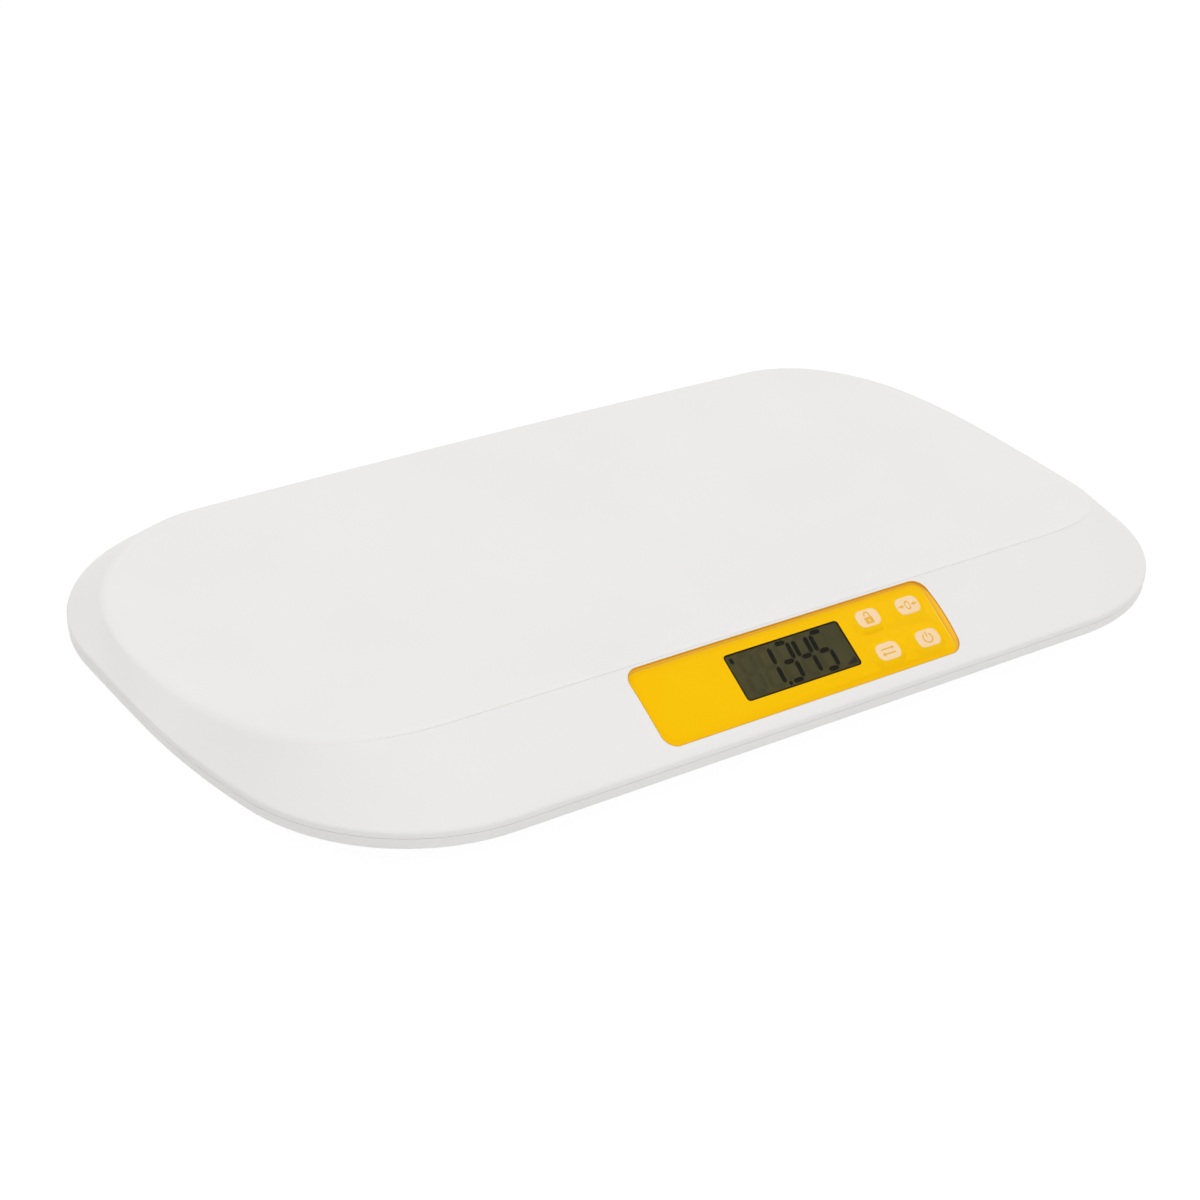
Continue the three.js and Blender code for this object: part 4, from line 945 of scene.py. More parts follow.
@dataclass
class TopShell:
    """Upper shell: shallow dish, crease, falling rims and skirt, with the panel's seat.

    A post or pin is (radius, lower end), a foot's cross (half length, half thickness, lower end), the
    pins' bore (radius, upper end), a ring of the groove (share of its width, share of its depth) and
    a ring of the seat's mouth (w, growth).
    """

    housing: Housing
    slope: Slope
    panel: Panel
    crease_soft_front: float = 1.3
    crease_soft_end: float = 5.0
    edge_soft: float = 1.0
    edge_inset: float = 0.5
    shoulder_drop: float = 1.4
    foot_drop: float = 0.16
    foot_chamfer: float = 0.1
    groove_depth: float = 0.28
    groove_width: float = 0.9
    groove: Table = ((1.0, 0.0), (0.75, 1.0), (0.3, 1.0), (0.08, 0.0))
    rib_depth: float = 6.0
    dish_inset: float = 8.0
    dish_centre: tuple[float, float] = (0.0, 10.0)
    dish_shares: tuple[float, ...] = (1.0, 0.96, 0.9, 0.82, 0.72, 0.6, 0.45, 0.3, 0.15)
    roof: float = 55.0
    bed: tuple[float, float, float, float] = (-93.3, 94.7, 3.7, 52.3)
    foot_post: tuple[float, float] = (3.5, 10.0)
    foot_cross: tuple[float, float, float] = (7.0, 1.0, 13.0)
    column_radius: float = 4.2
    column_bore_top: float = 30.3
    pin: tuple[float, float] = (3.0, -10.7)
    pin_bore: tuple[float, float] = (0.9, -7.1)
    mouth: Table = ((-0.12, 0.06), (0.0, 0.12), (1.0, 1.3))

    def skin(self, wall: float, foot_z: float) -> list[np.ndarray]:
        """Rings of a dome under the outer surface, from its foot to the middle of the dish.

        Args:
            wall: how deep it lies under the outer surface.
            foot_z: height of its foot.

        Returns:
            Rings from the foot inward.
        """
        form, outline = self.housing, self.housing.outline
        inset = wall + min(wall, self.edge_inset)
        creased, out = form.crease.ring()
        crest = level(creased, form.dish(creased[:, 1]) - wall)
        edge = outline.at(wall + self.edge_inset, form.edge_z - wall / 2)
        shoulder = outline.at(inset, form.edge_z - self.shoulder_drop - wall / 2)
        rings = [outline.at(inset, foot_z), shoulder, edge, *ruled(edge, crest, 3), crest]
        return rings + self.dish_rings(creased - self.dish_inset * out, wall)

    def dish_rings(self, base: np.ndarray, wall: float) -> list[np.ndarray]:
        """Rings centre + share (base - centre) at the dish's height, from the rim inward."""
        plans = [np.array(self.dish_centre) + share * (base - self.dish_centre) for share in self.dish_shares]
        return [level(plan, self.housing.dish(plan[:, 1]) - wall) for plan in plans]

    def outside(self) -> list[np.ndarray]:
        """Rings of the outer surface, from the foot to the middle of the dish.

        The slope is ruled from the edge to the crease. Edge and crease are rounded by a curve
        whose middle point is the sharp corner itself. A fine line is moulded just under the crease,
        deepest along the front: below - share width along - sunk depth normal.

        Returns:
            The rings.
        """
        form = self.housing
        creased, out = form.crease.ring()
        crest = level(creased, form.dish(creased[:, 1]))
        fall = crest - form.outline.at(self.edge_inset, form.edge_z)
        along = fall / np.linalg.norm(fall, axis=1, keepdims=True)
        drop = self.edge_inset * fall[:, 2] / np.linalg.norm(fall[:, :2], axis=1)
        corner = level(form.outline.ring()[0], form.edge_z - drop)
        shoulder = corner - np.array([0.0, 0.0, self.edge_soft])
        start = crest - fall + self.edge_soft * along
        soft = (self.crease_soft_front
                + (self.crease_soft_end - self.crease_soft_front) * out[:, :1] ** 2)
        below, plan = crest - soft * along, creased - soft * out
        normal = np.cross(np.column_stack([-out[:, 1], out[:, 0], np.zeros(len(out))]), along)
        normal *= np.sign(normal[:, 2:3])
        depth = self.groove_depth * np.clip(-out[:, 1:], 0, 1) ** 6
        line = [below - share * self.groove_width * along - sunk * depth * normal
                for share, sunk in self.groove]
        foot_z = form.parting_z - self.foot_drop
        rings = [form.outline.at(self.foot_chamfer, foot_z), form.outline.at(0.0, foot_z + self.foot_chamfer)]
        rings += bezier(shoulder, corner, start, 7) + ruled(start, line[0], 6) + line
        rings += bezier(below, crest, level(plan, form.dish(plan[:, 1])), 8)
        return rings + self.dish_rings(creased - self.dish_inset * out, 0.0)

    def build(self) -> None:
        """Builds the shell with its seat, bed, posts, bosses and ribs, and dresses it."""
        form, panel, place = self.housing, self.panel, self.slope.place
        bed_face = -panel.thickness - form.seat_gap
        bed_back = bed_face - panel.bed_thickness
        left, right, _, high = self.bed
        ribs = form.ribs(form.dish_z - form.wall - self.rib_depth, self.roof)
        ribs = combine(ribs[0], Operation.JOIN, ribs[1:])
        combine(ribs, Operation.KEEP, [lofted(self.skin(form.wall / 2, 0.0))])
        combine(ribs, Operation.CUT, [place(block(left, right, 0.0, high, -self.roof, 0.0))])
        half, thin, cross_low = self.foot_cross
        posts = copies(form.feet, rod(*self.foot_post, self.roof),
                       block(-half, half, -thin, thin, cross_low, self.roof),
                       block(-thin, thin, -half, half, cross_low, self.roof))
        posts += copies(form.screws, rod(self.column_radius, form.column_top_z + form.seat_gap, self.roof))
        inside = combine(place(block(*self.bed, bed_back, 0.0)), Operation.JOIN, [*posts, ribs])
        combine(inside, Operation.KEEP, [lofted(self.skin(form.wall / 2, 0.0))])
        inner = self.skin(form.wall, form.parting_z - self.foot_drop)
        shell = combine(lofted(inner[::-1] + self.outside()), Operation.JOIN,
                        [inside, *self.slope.places(copies(panel.posts, rod(*self.pin, bed_face)))])
        combine(shell, Operation.CUT, self.cuts(bed_face, bed_back))
        dress(shell, "top_shell_moulding", WHITE_ABS, Slot.SHELL, "top_shell")

    def cuts(self, bed_face: float, bed_back: float) -> list[Mesh]:
        """Tools for the panel's seat, the display and key openings and the screw holes.

        Args:
            bed_face: level of the bed's face.
            bed_back: level of its back.

        Returns:
            Closed meshes.
        """
        form, panel, gap = self.housing, self.panel, self.housing.seat_gap
        mouth = ((bed_face, self.mouth[0][1]), *self.mouth)
        through = (bed_back - OVERRUN, bed_face + OVERRUN)
        left, right, low, high = panel.glass
        radius, bore_top = self.pin_bore
        on_slope = [lofted([level(panel.outline(-growth), w) for w, growth in mouth]),
                    block(left - gap, right + gap, low - gap, high + gap, *through),
                    *copies(panel.keys, prism(panel.key(gap), *through)),
                    *copies(panel.posts, rod(radius + gap, self.pin[1] - OVERRUN, bore_top))]
        bore = rod(form.screw_radius + gap, form.column_top_z, self.column_bore_top)
        return self.slope.places(on_slope) + copies(form.screws, bore)


@dataclass(frozen=True)
class BatteryBay:
    """Sizes of the battery bay in the floor."""

    half_length: float = 26.0
    front_y: float = 21.2
    back_y: float = 56.8
    hook_margin: float = 4.0
    latch_margin: float = 6.5
    wall: float = 2.0
    roof_z: float = 19.6
    tab_half: float = 7.4
    tab_reach: float = 5.0

    def room(self, growth: float) -> tuple[float, float, float, float]:
        """Limits of the bay in plan, grown by a width."""
        return (-self.half_length - growth, self.half_length + growth,
                self.front_y - self.hook_margin - growth, self.back_y + self.latch_margin + growth)


@dataclass
class BaseShell:
    """Lower shell: floor, sloping pan and rim band, with wells, columns, battery bay and ribs.

    Rings of the tongue and of the band's foot are (inset, height), those of the band's top (inset,
    drop).
    """

    housing: Housing
    bay: BatteryBay
    floor_inset: float = 30.0
    floor_soft: float = 5.0
    floor_middle: float = 50.0
    rim_z: float = 16.25
    rim_inset: float = 3.2
    rim_round: float = 1.1
    rim_soft: float = 2.0
    rim_end: tuple[float, float] = (0.9, 0.95)
    band_foot: Table = ((0.75, 18.85), (0.42, 19.2), (0.38, 19.8))
    band_top: Table = ((0.18, 0.55), (0.05, 0.1), (0.12, 0.0))
    tongue: Table = ((3.2, 19.7), (3.2, 25.5), (4.7, 25.5), (4.7, 19.7))
    rib_height: float = 5.0
    well_radius: float = 22.5
    well_bevel: float = 0.6
    collar_radius: float = 24.8
    collar_wall: float = 1.8
    column_radius: float = 5.4
    counterbore_radius: float = 3.7
    counterbore_bevel: float = 0.5
    screw_seat_z: float = 14.0

    def pan(self, wall: float, top_z: float) -> list[np.ndarray]:
        """Rings of a pan inside the outer surface.

        Args:
            wall: how far inside it lies.
            top_z: height of its top.

        Returns:
            Rings from the floor up.
        """
        steps = ((self.floor_inset, self.housing.floor_z), (self.rim_inset, self.rim_z),
                 (self.rim_inset - self.rim_round, self.rim_z + self.rim_round))
        rings = [self.housing.outline.at(inset + wall, z + wall) for inset, z in steps]
        return rings + [self.housing.outline.at(wall, top_z)]

    def outside(self, top_z: float) -> list[np.ndarray]:
        """Rings of the outer surface: the floor's edge is rounded, and a bevel under the band gives
        the darker line along the scale's foot.

        Args:
            top_z: height of its top.

        Returns:
            Rings from the floor up.
        """
        ring, floor_z = self.housing.outline.at, self.housing.floor_z
        floor, soft = self.floor_inset, self.floor_soft
        slant = (self.rim_z - floor_z) / (floor - self.rim_inset)
        end_inset, end_rise = self.rim_end
        rings = [ring(floor + self.floor_middle, floor_z)]
        rings += bezier(ring(floor + soft, floor_z), ring(floor, floor_z),
                        ring(floor - soft, floor_z + soft * slant), 6)
        rings += bezier(ring(self.rim_inset + self.rim_soft, self.rim_z - self.rim_soft * slant),
                        ring(self.rim_inset, self.rim_z),
                        ring(self.rim_inset - end_inset, self.rim_z + end_rise), 4)
        rings += bezier(*[ring(*step) for step in self.band_foot], 4)
        return rings + [ring(inset, top_z - drop) for inset, drop in self.band_top]

    def build(self) -> None:
        """Builds the shell with all that is moulded in it, and dresses it."""
        form, bay = self.housing, self.bay
        band_top = form.parting_z - form.seat_gap
        floor_top = form.floor_z + form.wall
        collar_top = floor_top + self.rib_height
        moulded = form.ribs(form.floor_z, collar_top)
        moulded.append(block(*bay.room(bay.wall), form.floor_z, bay.roof_z + bay.wall))
        moulded += copies(form.feet, rod(self.collar_radius + self.collar_wall, form.floor_z, collar_top, 64))
        moulded += copies(form.screws, rod(self.column_radius, form.floor_z, form.column_top_z))
        inside = combine(moulded[0], Operation.JOIN, moulded[1:])
        combine(inside, Operation.KEEP, [lofted(self.pan(form.wall / 2, band_top))])
        tongue = lofted([form.outline.at(*step) for step in self.tongue], Cap.RING)
        shell = combine(lofted(self.outside(band_top) + self.pan(form.wall, band_top)[::-1]),
                        Operation.JOIN, [inside, tongue])
        combine(shell, Operation.CUT, self.cuts(floor_top, collar_top))
        dress(shell, "base_shell_moulding", WHITE_ABS_BELOW, Slot.SHELL, "base_shell")

    def bore(self, radius: float, bevel: float, top: float, steps: int) -> Mesh:
        """A bore up from under the floor, with a bevelled mouth.

        Args:
            radius: its radius.
            bevel: width of the bevel.
            top: height of its end.
            steps: points round it.

        Returns:
            A closed mesh.
        """
        floor_z = self.housing.floor_z
        return turned([(radius + bevel, floor_z - OVERRUN), (radius + bevel, floor_z),
                       (radius, floor_z + bevel), (radius, top)], steps)

    def cuts(self, floor_top: float, collar_top: float) -> list[Mesh]:
        """Tools for the bay, the wells and the screw holes.

        Args:
            floor_top: height of the floor's upper face.
            collar_top: height of the wells' collars.

        Returns:
            Closed meshes.
        """
        form, bay = self.housing, self.bay
        mouth = (form.floor_z - OVERRUN, floor_top)
        tools = [block(*bay.room(0.0), floor_top - form.wall / 2, bay.roof_z),
                 block(-bay.half_length, bay.half_length, bay.front_y, bay.back_y, *mouth),
                 block(-bay.tab_half, bay.tab_half, bay.back_y - OVERRUN, bay.back_y + bay.tab_reach, *mouth)]
        tools += copies(form.feet, self.bore(self.well_radius, self.well_bevel, floor_top + OVERRUN, 64),
                        rod(self.collar_radius, floor_top, collar_top + OVERRUN, 64))
        return tools + copies(
            form.screws, self.bore(self.counterbore_radius, self.counterbore_bevel, self.screw_seat_z, 40),
            rod(form.screw_radius + form.loose_gap, form.floor_z, form.column_top_z + OVERRUN))


# ---------------------------------------------------------------- display panel


@dataclass
class FrontPanel:
    """Clear panel, the yellow print behind it with its raised rim and painted edge shade, and a dark brown
    frame that paints the shadow along the window's edge.

    Rings of a key hole's mouth are (w, growth).
    """

    slope: Slope
    panel: Panel
    edge_round: float = 0.35
    print_gap: float = 0.01
    ink_level: float = -2.02
    ink_thickness: float = 0.18
    ink_corner: float = 0.12
    window_centre: tuple[float, float] = (-0.8, 29.65)
    window_length: float = 67.8
    window_width: float = 24.5
    window_corner: float = 1.3
    border: float = 0.7
    side_top: float = -0.08
    sleeve: float = 0.13
    sleeve_flare: float = 0.08
    cone: float = 3.4
    key_mouth: Table = ((-0.1, 0.22), (0.0, 0.3), (1.0, 1.3))

    def window(self, growth: float = 0.0) -> np.ndarray:
        """Outline of the display window in the print, grown by a width."""
        return rounded_rectangle(self.window_length + 2 * growth, self.window_width + 2 * growth,
                                 self.window_corner + growth) + np.array(self.window_centre)

    def acrylic(self) -> None:
        """The clear panel: its flank rises from the flat's outline, its top edge is rounded, and
        its back is countersunk round each key."""
        panel, place, soft = self.panel, self.slope.place, self.edge_round
        flat, rise = panel.flat_outline()
        side, back = panel.outline(panel.side_ink + self.print_gap), -panel.thickness
        rings = [level(flat, back), level(side, rise + back)]
        rings += bezier(level(side, -soft), level(side, 0.0),
                        level(panel.outline(panel.side_ink + soft), 0.0), 4)
        hole = lofted(panel.key_rings(((back - OVERRUN, self.cone), (back, self.cone), *self.key_mouth)))
        lens = combine(place(lofted(rings)), Operation.CUT, self.slope.places(copies(panel.keys, hole)))
        dress(lens, "panel_acrylic", Acrylic(), Slot.LENS, "display_lens")

    def rim_print(self) -> None:
        """The ink on the rising rim and up the panel's side, as a thin closed ring, coloured with the painted
        shade and highlight of the lens edge.

        Its attribute "edge" runs from 1 at the flat print over the corner's value at the panel's
        side to 0 at the side's top.
        """
        panel, corner, back = self.panel, self.ink_corner, self.ink_level - self.ink_thickness
        flat, rise = panel.flat_outline()
        side, outside = panel.outline(panel.side_ink), panel.outline()
        shares = np.linspace(1, 0, 9)
        rings = [level(side + t * (flat - side), self.ink_level + rise * (1 - t)) for t in shares]
        rings += [level(side, self.side_top), level(outside, self.side_top), level(outside, back + rise),
                  level(flat, back)]
        rim = link("rim", self.slope.place(lofted(rings, Cap.RING)))
        values = np.concatenate([corner + shares * (1 - corner), [0.0, 0.0, corner, 1.0]])
        edge = np.repeat(values, len(flat)).astype(np.float32)
        rim.data.attributes.new("edge", "FLOAT", "POINT").data.foreach_set("value", edge)
        dress(rim, "panel_rim_ink_and_painted_shade", RimInkWithPaintedShade(), Slot.LENS)

    def flat_print(self) -> None:
        """The flat ink with the display window cut out and a cone up to each key, and the dark frame of
        painted shadow round the window.
        """
        panel, place = self.panel, self.slope.place
        top, bottom = self.ink_level, self.ink_level - self.ink_thickness
        wide, tight = self.window(self.border), self.window()
        cone = lofted(panel.key_rings(((bottom, self.cone), (top, self.cone),
                                       (self.side_top, self.sleeve + self.sleeve_flare))))
        hole = prism(panel.key(self.sleeve), bottom - OVERRUN, OVERRUN)
        ink = combine(place(prism(panel.flat_outline()[0], bottom, top)), Operation.CUT,
                      [place(prism(wide, bottom - OVERRUN, top + OVERRUN))])
        for operation, form in ((Operation.JOIN, cone), (Operation.CUT, hole)):
            combine(ink, operation, self.slope.places(copies(panel.keys, form)))
        dress(ink, "panel_print", YELLOW_INK, Slot.LENS)
        # A dark brown frame round the window: painted shadow along the window's edge
        rings = [level(wide, bottom), level(wide, top), level(tight, top), level(tight, bottom)]
        dress(place(lofted(rings, Cap.RING)), "window_edge_painted_shadow", WINDOW_EDGE_PAINTED_SHADOW, Slot.LENS)

    def build(self) -> None:
        """Builds and dresses the panel's layers."""
        self.acrylic()
        self.rim_print()
        self.flat_print()


@dataclass
class DisplayCell:
    """Liquid crystal cell with plain digits, faint resting segments and two small marks.

    A mark is (length, width, corner, x, v). The row of level bars is (width, corner, first x, pitch,
    foot v), with their heights beside it.
    """

    slope: Slope
    panel: Panel
    face: float = -2.3
    back: float = -5.1
    bevel: float = 0.2
    digit_width: float = 7.2
    digit_height: float = 23.2
    foot_v: float = 18.2
    stroke: float = 2.5
    lean: float = 1.3
    split: float = 0.4
    stems: tuple[float, ...] = (-21.4, -10.5, 0.6, 11.4, 22.0)
    lit: tuple[str, ...] = ("", "bc", "abgcd", "fgbc", "afgcd")
    marks: Table = ((2.0, 2.0, 0.7, -8.6, 19.1), (2.2, 3.2, 0.9, -32.0, 38.8))
    level_heights: tuple[float, ...] = (1.4, 2.1, 2.8, 3.5)
    level_row: tuple[float, ...] = (0.95, 0.3, 27.2, 1.45, 18.4)
    corner: float = 0.5
    film_gap: float = 0.002
    resting_rise: float = 0.008
    lit_rise: float = 0.016

    def segment(self, start: tuple[float, float], end: tuple[float, float]) -> np.ndarray:
        """A bar between two joints of a digit, pointed at both ends.

        Corners are start or end, moved along the bar by half a stroke and across by half a stroke.

        Args:
            start: one joint.
            end: the other joint.

        Returns:
            Six plan points.
        """
        first, last = np.array(start), np.array(end)
        along = (last - first) / np.linalg.norm(last - first)
        across = np.array([-along[1], along[0]]) * self.stroke / 2
        first, last = first + along * self.split, last - along * self.split
        step = along * self.stroke / 2
        return np.array([first, first + step + across, last - step + across, last,
                         last - step - across, first + step - across])

    def digit(self, right: float) -> dict[str, np.ndarray]:
        """The seven bars of a digit.

        Args:
            right: x of the right stem's middle.

        Returns:
            Bars by their usual letters, leaning to the right.
        """
        left, half = right - self.digit_width, self.stroke / 2
        low, middle = self.foot_v + half, self.foot_v + self.digit_height / 2
        high = self.foot_v + self.digit_height - half
        joints = {"a": ((left, high), (right, high)), "g": ((left, middle), (right, middle)),
                  "d": ((left, low), (right, low)), "f": ((left, middle), (left, high)),
                  "b": ((right, middle), (right, high)), "e": ((left, low), (left, middle)),
                  "c": ((right, low), (right, middle))}
        bars = {letter: self.segment(*ends) for letter, ends in joints.items()}
        for bar in bars.values():
            bar[:, 0] += (bar[:, 1] - middle) * self.lean / self.digit_height
        return bars

    def plates(self, name: str, shapes: list[np.ndarray], rise: float, finish: Finish) -> None:
        """Puts flat shapes on the cell's face as one thin piece, and dresses it."""
        plates = merged([prism(shape, self.face + self.film_gap, self.face + rise) for shape in shapes])
        dress(self.slope.place(plates), name, finish, Slot.GLASS)

    def build(self) -> None:
        """Builds and dresses the cell and what it shows."""
        left, right, low, high = self.panel.glass
        centre, soft = np.array([(left + right) / 2, (low + high) / 2]), self.bevel
        outline = [(self.back, soft), (self.back + soft, 0.0), (self.face - soft, 0.0), (self.face, soft)]
        rings = [level(rounded_rectangle(right - left - 2 * inset, high - low - 2 * inset, self.corner)
                       + centre, w) for w, inset in outline]
        dress(self.slope.place(lofted(rings)), "display_cell", POLARISER, Slot.GLASS, "display_glass")
        lit, resting = [], []
        for stem, letters in zip(self.stems, self.lit):
            for letter, bar in self.digit(stem).items():
                (lit if letter in letters else resting).append(bar)
        lit += [rounded_rectangle(*sizes) + np.array([x, v]) for *sizes, x, v in self.marks]
        width, corner, first_x, pitch, foot_v = self.level_row
        lit += [rounded_rectangle(width, height, corner, 3)
                + np.array([first_x + pitch * step, foot_v + height / 2])
                for step, height in enumerate(self.level_heights)]
        self.plates("display_resting_segments", resting, self.resting_rise, UNLIT_SEGMENT)
        self.plates("display_digits", lit, self.lit_rise, LIT_SEGMENT)


@dataclass(frozen=True)
class Drawing:
    """A sign about its key's middle, drawn in shapes that don't overlap.

    An arc is (radius, start, end, share along x, share along v, lift) with angles in degrees, a bar
    (left, right, low, high) and an arrow (tip, tail, height).
    """

    arcs: Table = ()
    bars: Table = ()
    arrows: Table = ()
    line: float = 0.6
    head_length: float = 1.3
    head_half: float = 0.95

    def outlines(self) -> list[np.ndarray]:
        """The sign's shapes: an arc runs out on one radius and back on another, an arrow is a
        shaft and a triangle.

        Returns:
            Plan outlines.
        """
        half, shapes = self.line / 2, []
        for radius, start, end, along, up, lift in self.arcs:
            out = fan(math.radians(start), math.radians(end), 25)
            arc = np.vstack([(radius + half) * out, ((radius - half) * out)[::-1]])
            shapes.append(arc * np.array([along, up]) + np.array([0.0, lift]))
        shapes += [rectangle(*bar) for bar in self.bars]
        for tip, tail, v in self.arrows:
            neck = tip - math.copysign(self.head_length, tip - tail)
            shapes.append(rectangle(min(tail, neck), max(tail, neck), v - half, v + half))
            shapes.append(np.array([[neck, v - self.head_half], [tip, v], [neck, v + self.head_half]]))
        return shapes


SIGNS = {
    Sign.PADLOCK: Drawing(arcs=((1.15, 0, 200, 1.0, 1.0, 1.4),),
                          bars=((0.85, 1.45, 0.35, 1.39), (-1.9, -0.4, -2.6, 0.34), (0.4, 1.9, -2.6, 0.34),
                                (-0.39, 0.39, -0.6, 0.34), (-0.39, 0.39, -2.6, -1.8))),
    Sign.ZERO: Drawing(arcs=((1.45, 2, 178, 0.75, 1.2, 0.0), (1.45, 182, 358, 0.75, 1.2, 0.0)),
                       arrows=((-1.9, -4.6, 0.0), (1.9, 4.6, 0.0))),
    Sign.SWAP: Drawing(arrows=((3.4, -3.0, 1.1), (-3.4, 3.0, -1.1))),
    Sign.STANDBY: Drawing(arcs=((2.1, -235, 55, 1.0, 1.0, 0.0),), bars=((-0.3, 0.3, 0.3, 2.9),)),
}


@dataclass
class Keypad:
    """Four silicone keys with printed signs. The stem is (radius, lower end)."""

    slope: Slope
    panel: Panel
    top: float = 0.03
    ease: float = 0.08
    flange_top: float = -4.6
    flange_back: float = -5.8
    flange: float = 1.2
    flange_bevel: float = 0.2
    stem: tuple[float, float] = (1.8, -6.6)
    stem_overlap: float = 0.3
    soft: float = 0.1
    crown_share: float = 1.4
    ink: float = 0.02
    ink_depth: float = 0.05
    sign_scale: float = 1.25

    def cap(self) -> Mesh:
        """A key about its middle: flange, shank and rounded crown.

        Returns:
            A closed mesh.
        """
        panel, bevel = self.panel, self.flange_bevel
        rings = panel.key_rings((
            (self.flange_back, self.flange - bevel), (self.flange_back + bevel, self.flange),
            (self.flange_top, self.flange), (self.flange_top, self.ease)))
        return lofted(rings + bezier(*panel.key_rings((
            (self.top - self.soft, self.ease), (self.top, self.ease),
            (self.top, self.ease - self.soft * self.crown_share))), 4))

    def build(self) -> None:
        """Builds and dresses the keys and their signs."""
        stem = rod(*self.stem, self.flange_back + self.stem_overlap)
        for name, x, v in self.panel.keys:
            cap, foot = self.slope.places(copies([(x, v)], self.cap(), stem))
            dress(combine(cap, Operation.JOIN, [foot]), f"key_cap_{name}", PEACH_SILICONE, Slot.KEY,
                  f"key_{name}", f"key_{name}")
            sign = merged([prism(shape * self.sign_scale, self.top - self.ink_depth, self.top + self.ink)
                           for shape in SIGNS[Sign(name)].outlines()])
            dress(self.slope.place(moved(sign, x, v)), f"key_sign_{name}", KEY_INK, Slot.KEY,
                  body=f"key_{name}")


# ---------------------------------------------------------------- feet, screws and inner parts


@dataclass
class Feet:
    """Rubber pads with grip rings and the plastic cups that hold them, as (radius, height)."""

    housing: Housing
    pad_radius: float = 20.0
    pad_edge: Table = ((0.0, 2.0), (0.0, 0.8), (-0.25, 0.24), (-0.8, 0.0))
    ring_pitch: float = 3.2
    ring_depth: float = 0.35
    cup: Table = ((16.3, 2.3), (19.9, 2.3), (20.3, 2.3), (20.3, 1.2), (22.1, 1.2), (22.1, 8.7), (24.1, 8.7),
                  (24.1, 10.1), (20.3, 10.1), (20.3, 6.8), (16.3, 6.8), (16.3, 4.3))

    def pad_profile(self) -> list[tuple[float, float]]:
        """Half section of a pad from its top to its underside: flat rings between shallow grooves.

        Returns:
            Points (radius, height).
        """
        groove = ((0.5, 0.0), (0.25, self.ring_depth), (-0.25, self.ring_depth), (-0.5, 0.0))
        middles = np.arange(self.pad_radius - self.ring_pitch, self.ring_pitch, -self.ring_pitch)
        return ([(self.pad_radius + out, z) for out, z in self.pad_edge]
                + [(middle + out, z) for middle in middles for out, z in groove])

    def build(self) -> None:
        """Builds and dresses the four feet."""
        for name, x, y in self.housing.feet:
            for profile, piece, finish, slot, node in (
                    (self.pad_profile(), "grip", FOOT_RUBBER, Slot.FOOT, "pad"),
                    (self.cup, "holder", WHITE_ABS_BELOW, Slot.SHELL, "cup")):
                dress(moved(turned(profile, 72), x, y), f"foot_{piece}_{name}", finish, slot,
                      f"foot_{node}_{name}", f"foot_{name}")


@dataclass(frozen=True)
class Screw:
    """A thread-forming screw with a domed head and a cross recess, standing on its head.

    The recess is (length, width, depth) and the dome is in shares of the head's radius and height.
    """

    head_radius: float
    thread_radius: float
    head: float
    reach: float
    recess: tuple[float, float, float]
    dome: Table = ((0.55, 0.0), (0.85, 0.12), (1.0, 0.45), (1.0, 1.0))
    pitch_share: float = 0.8
    core_share: float = 0.78
    tip_share: float = 0.3
    recess_corner_share: float = 0.2
    mouth_share: float = 1.15
    bottom_share: float = 0.6
    mouth_z: float = -0.5

    def meshes(self) -> list[Mesh]:
        """The screw before its recess is cut, its thread a zigzag profile, and the recess's tools,
        two crossed bars that taper inward.

        Returns:
            Three closed meshes.
        """
        radius, pitch = self.thread_radius, self.thread_radius * self.pitch_share
        core = radius * self.core_share
        profile = [(self.head_radius * out, self.head * up) for out, up in self.dome] + [(pitch, self.head)]
        for z in np.arange(self.head + pitch, self.reach - pitch, pitch):
            profile += [(core, z), (radius, z + pitch / 2)]
        profile += [(core, self.reach - pitch / 2), (radius * self.tip_share, self.reach)]
        length, width, depth = self.recess
        bars = [rounded_rectangle(*sides, width * self.recess_corner_share, 2)
                for sides in ((length, width), (width, length))]
        return [turned(profile, 32)] + [
            lofted([level(bar * self.mouth_share, self.mouth_z), level(bar * self.bottom_share, depth)])
            for bar in bars]


@dataclass
class Screws:
    """Eight screws in the housing and four on the board."""

    housing: Housing
    slope: Slope
    panel: Panel
    housing_screw: Screw = Screw(3.2, 1.5, 2.0, 18.3, (3.2, 0.9, 1.2))
    board_screw: Screw = Screw(1.9, 0.9, 1.3, 6.8, (2.0, 0.55, 0.7))
    housing_head_z: float = 11.7
    board_head_w: float = -14.2

    def build(self) -> None:
        """Builds and dresses the screws."""
        for name, x, y in self.housing.screws:
            body, *cross = [moved(mesh, x, y, self.housing_head_z) for mesh in self.housing_screw.meshes()]
            dress(combine(body, Operation.CUT, cross), f"cross_screw_{name}", ZINC_PLATE, Slot.PLATED,
                  f"housing_screw_{name}")
        for number, (x, v) in enumerate(self.panel.posts, 1):
            body, *cross = self.slope.places([moved(mesh, x, v, self.board_head_w)
                                              for mesh in self.board_screw.meshes()])
            dress(combine(body, Operation.CUT, cross), f"small_cross_screw_{number}", ZINC_PLATE, Slot.PLATED,
                  f"board_screw_{number}")


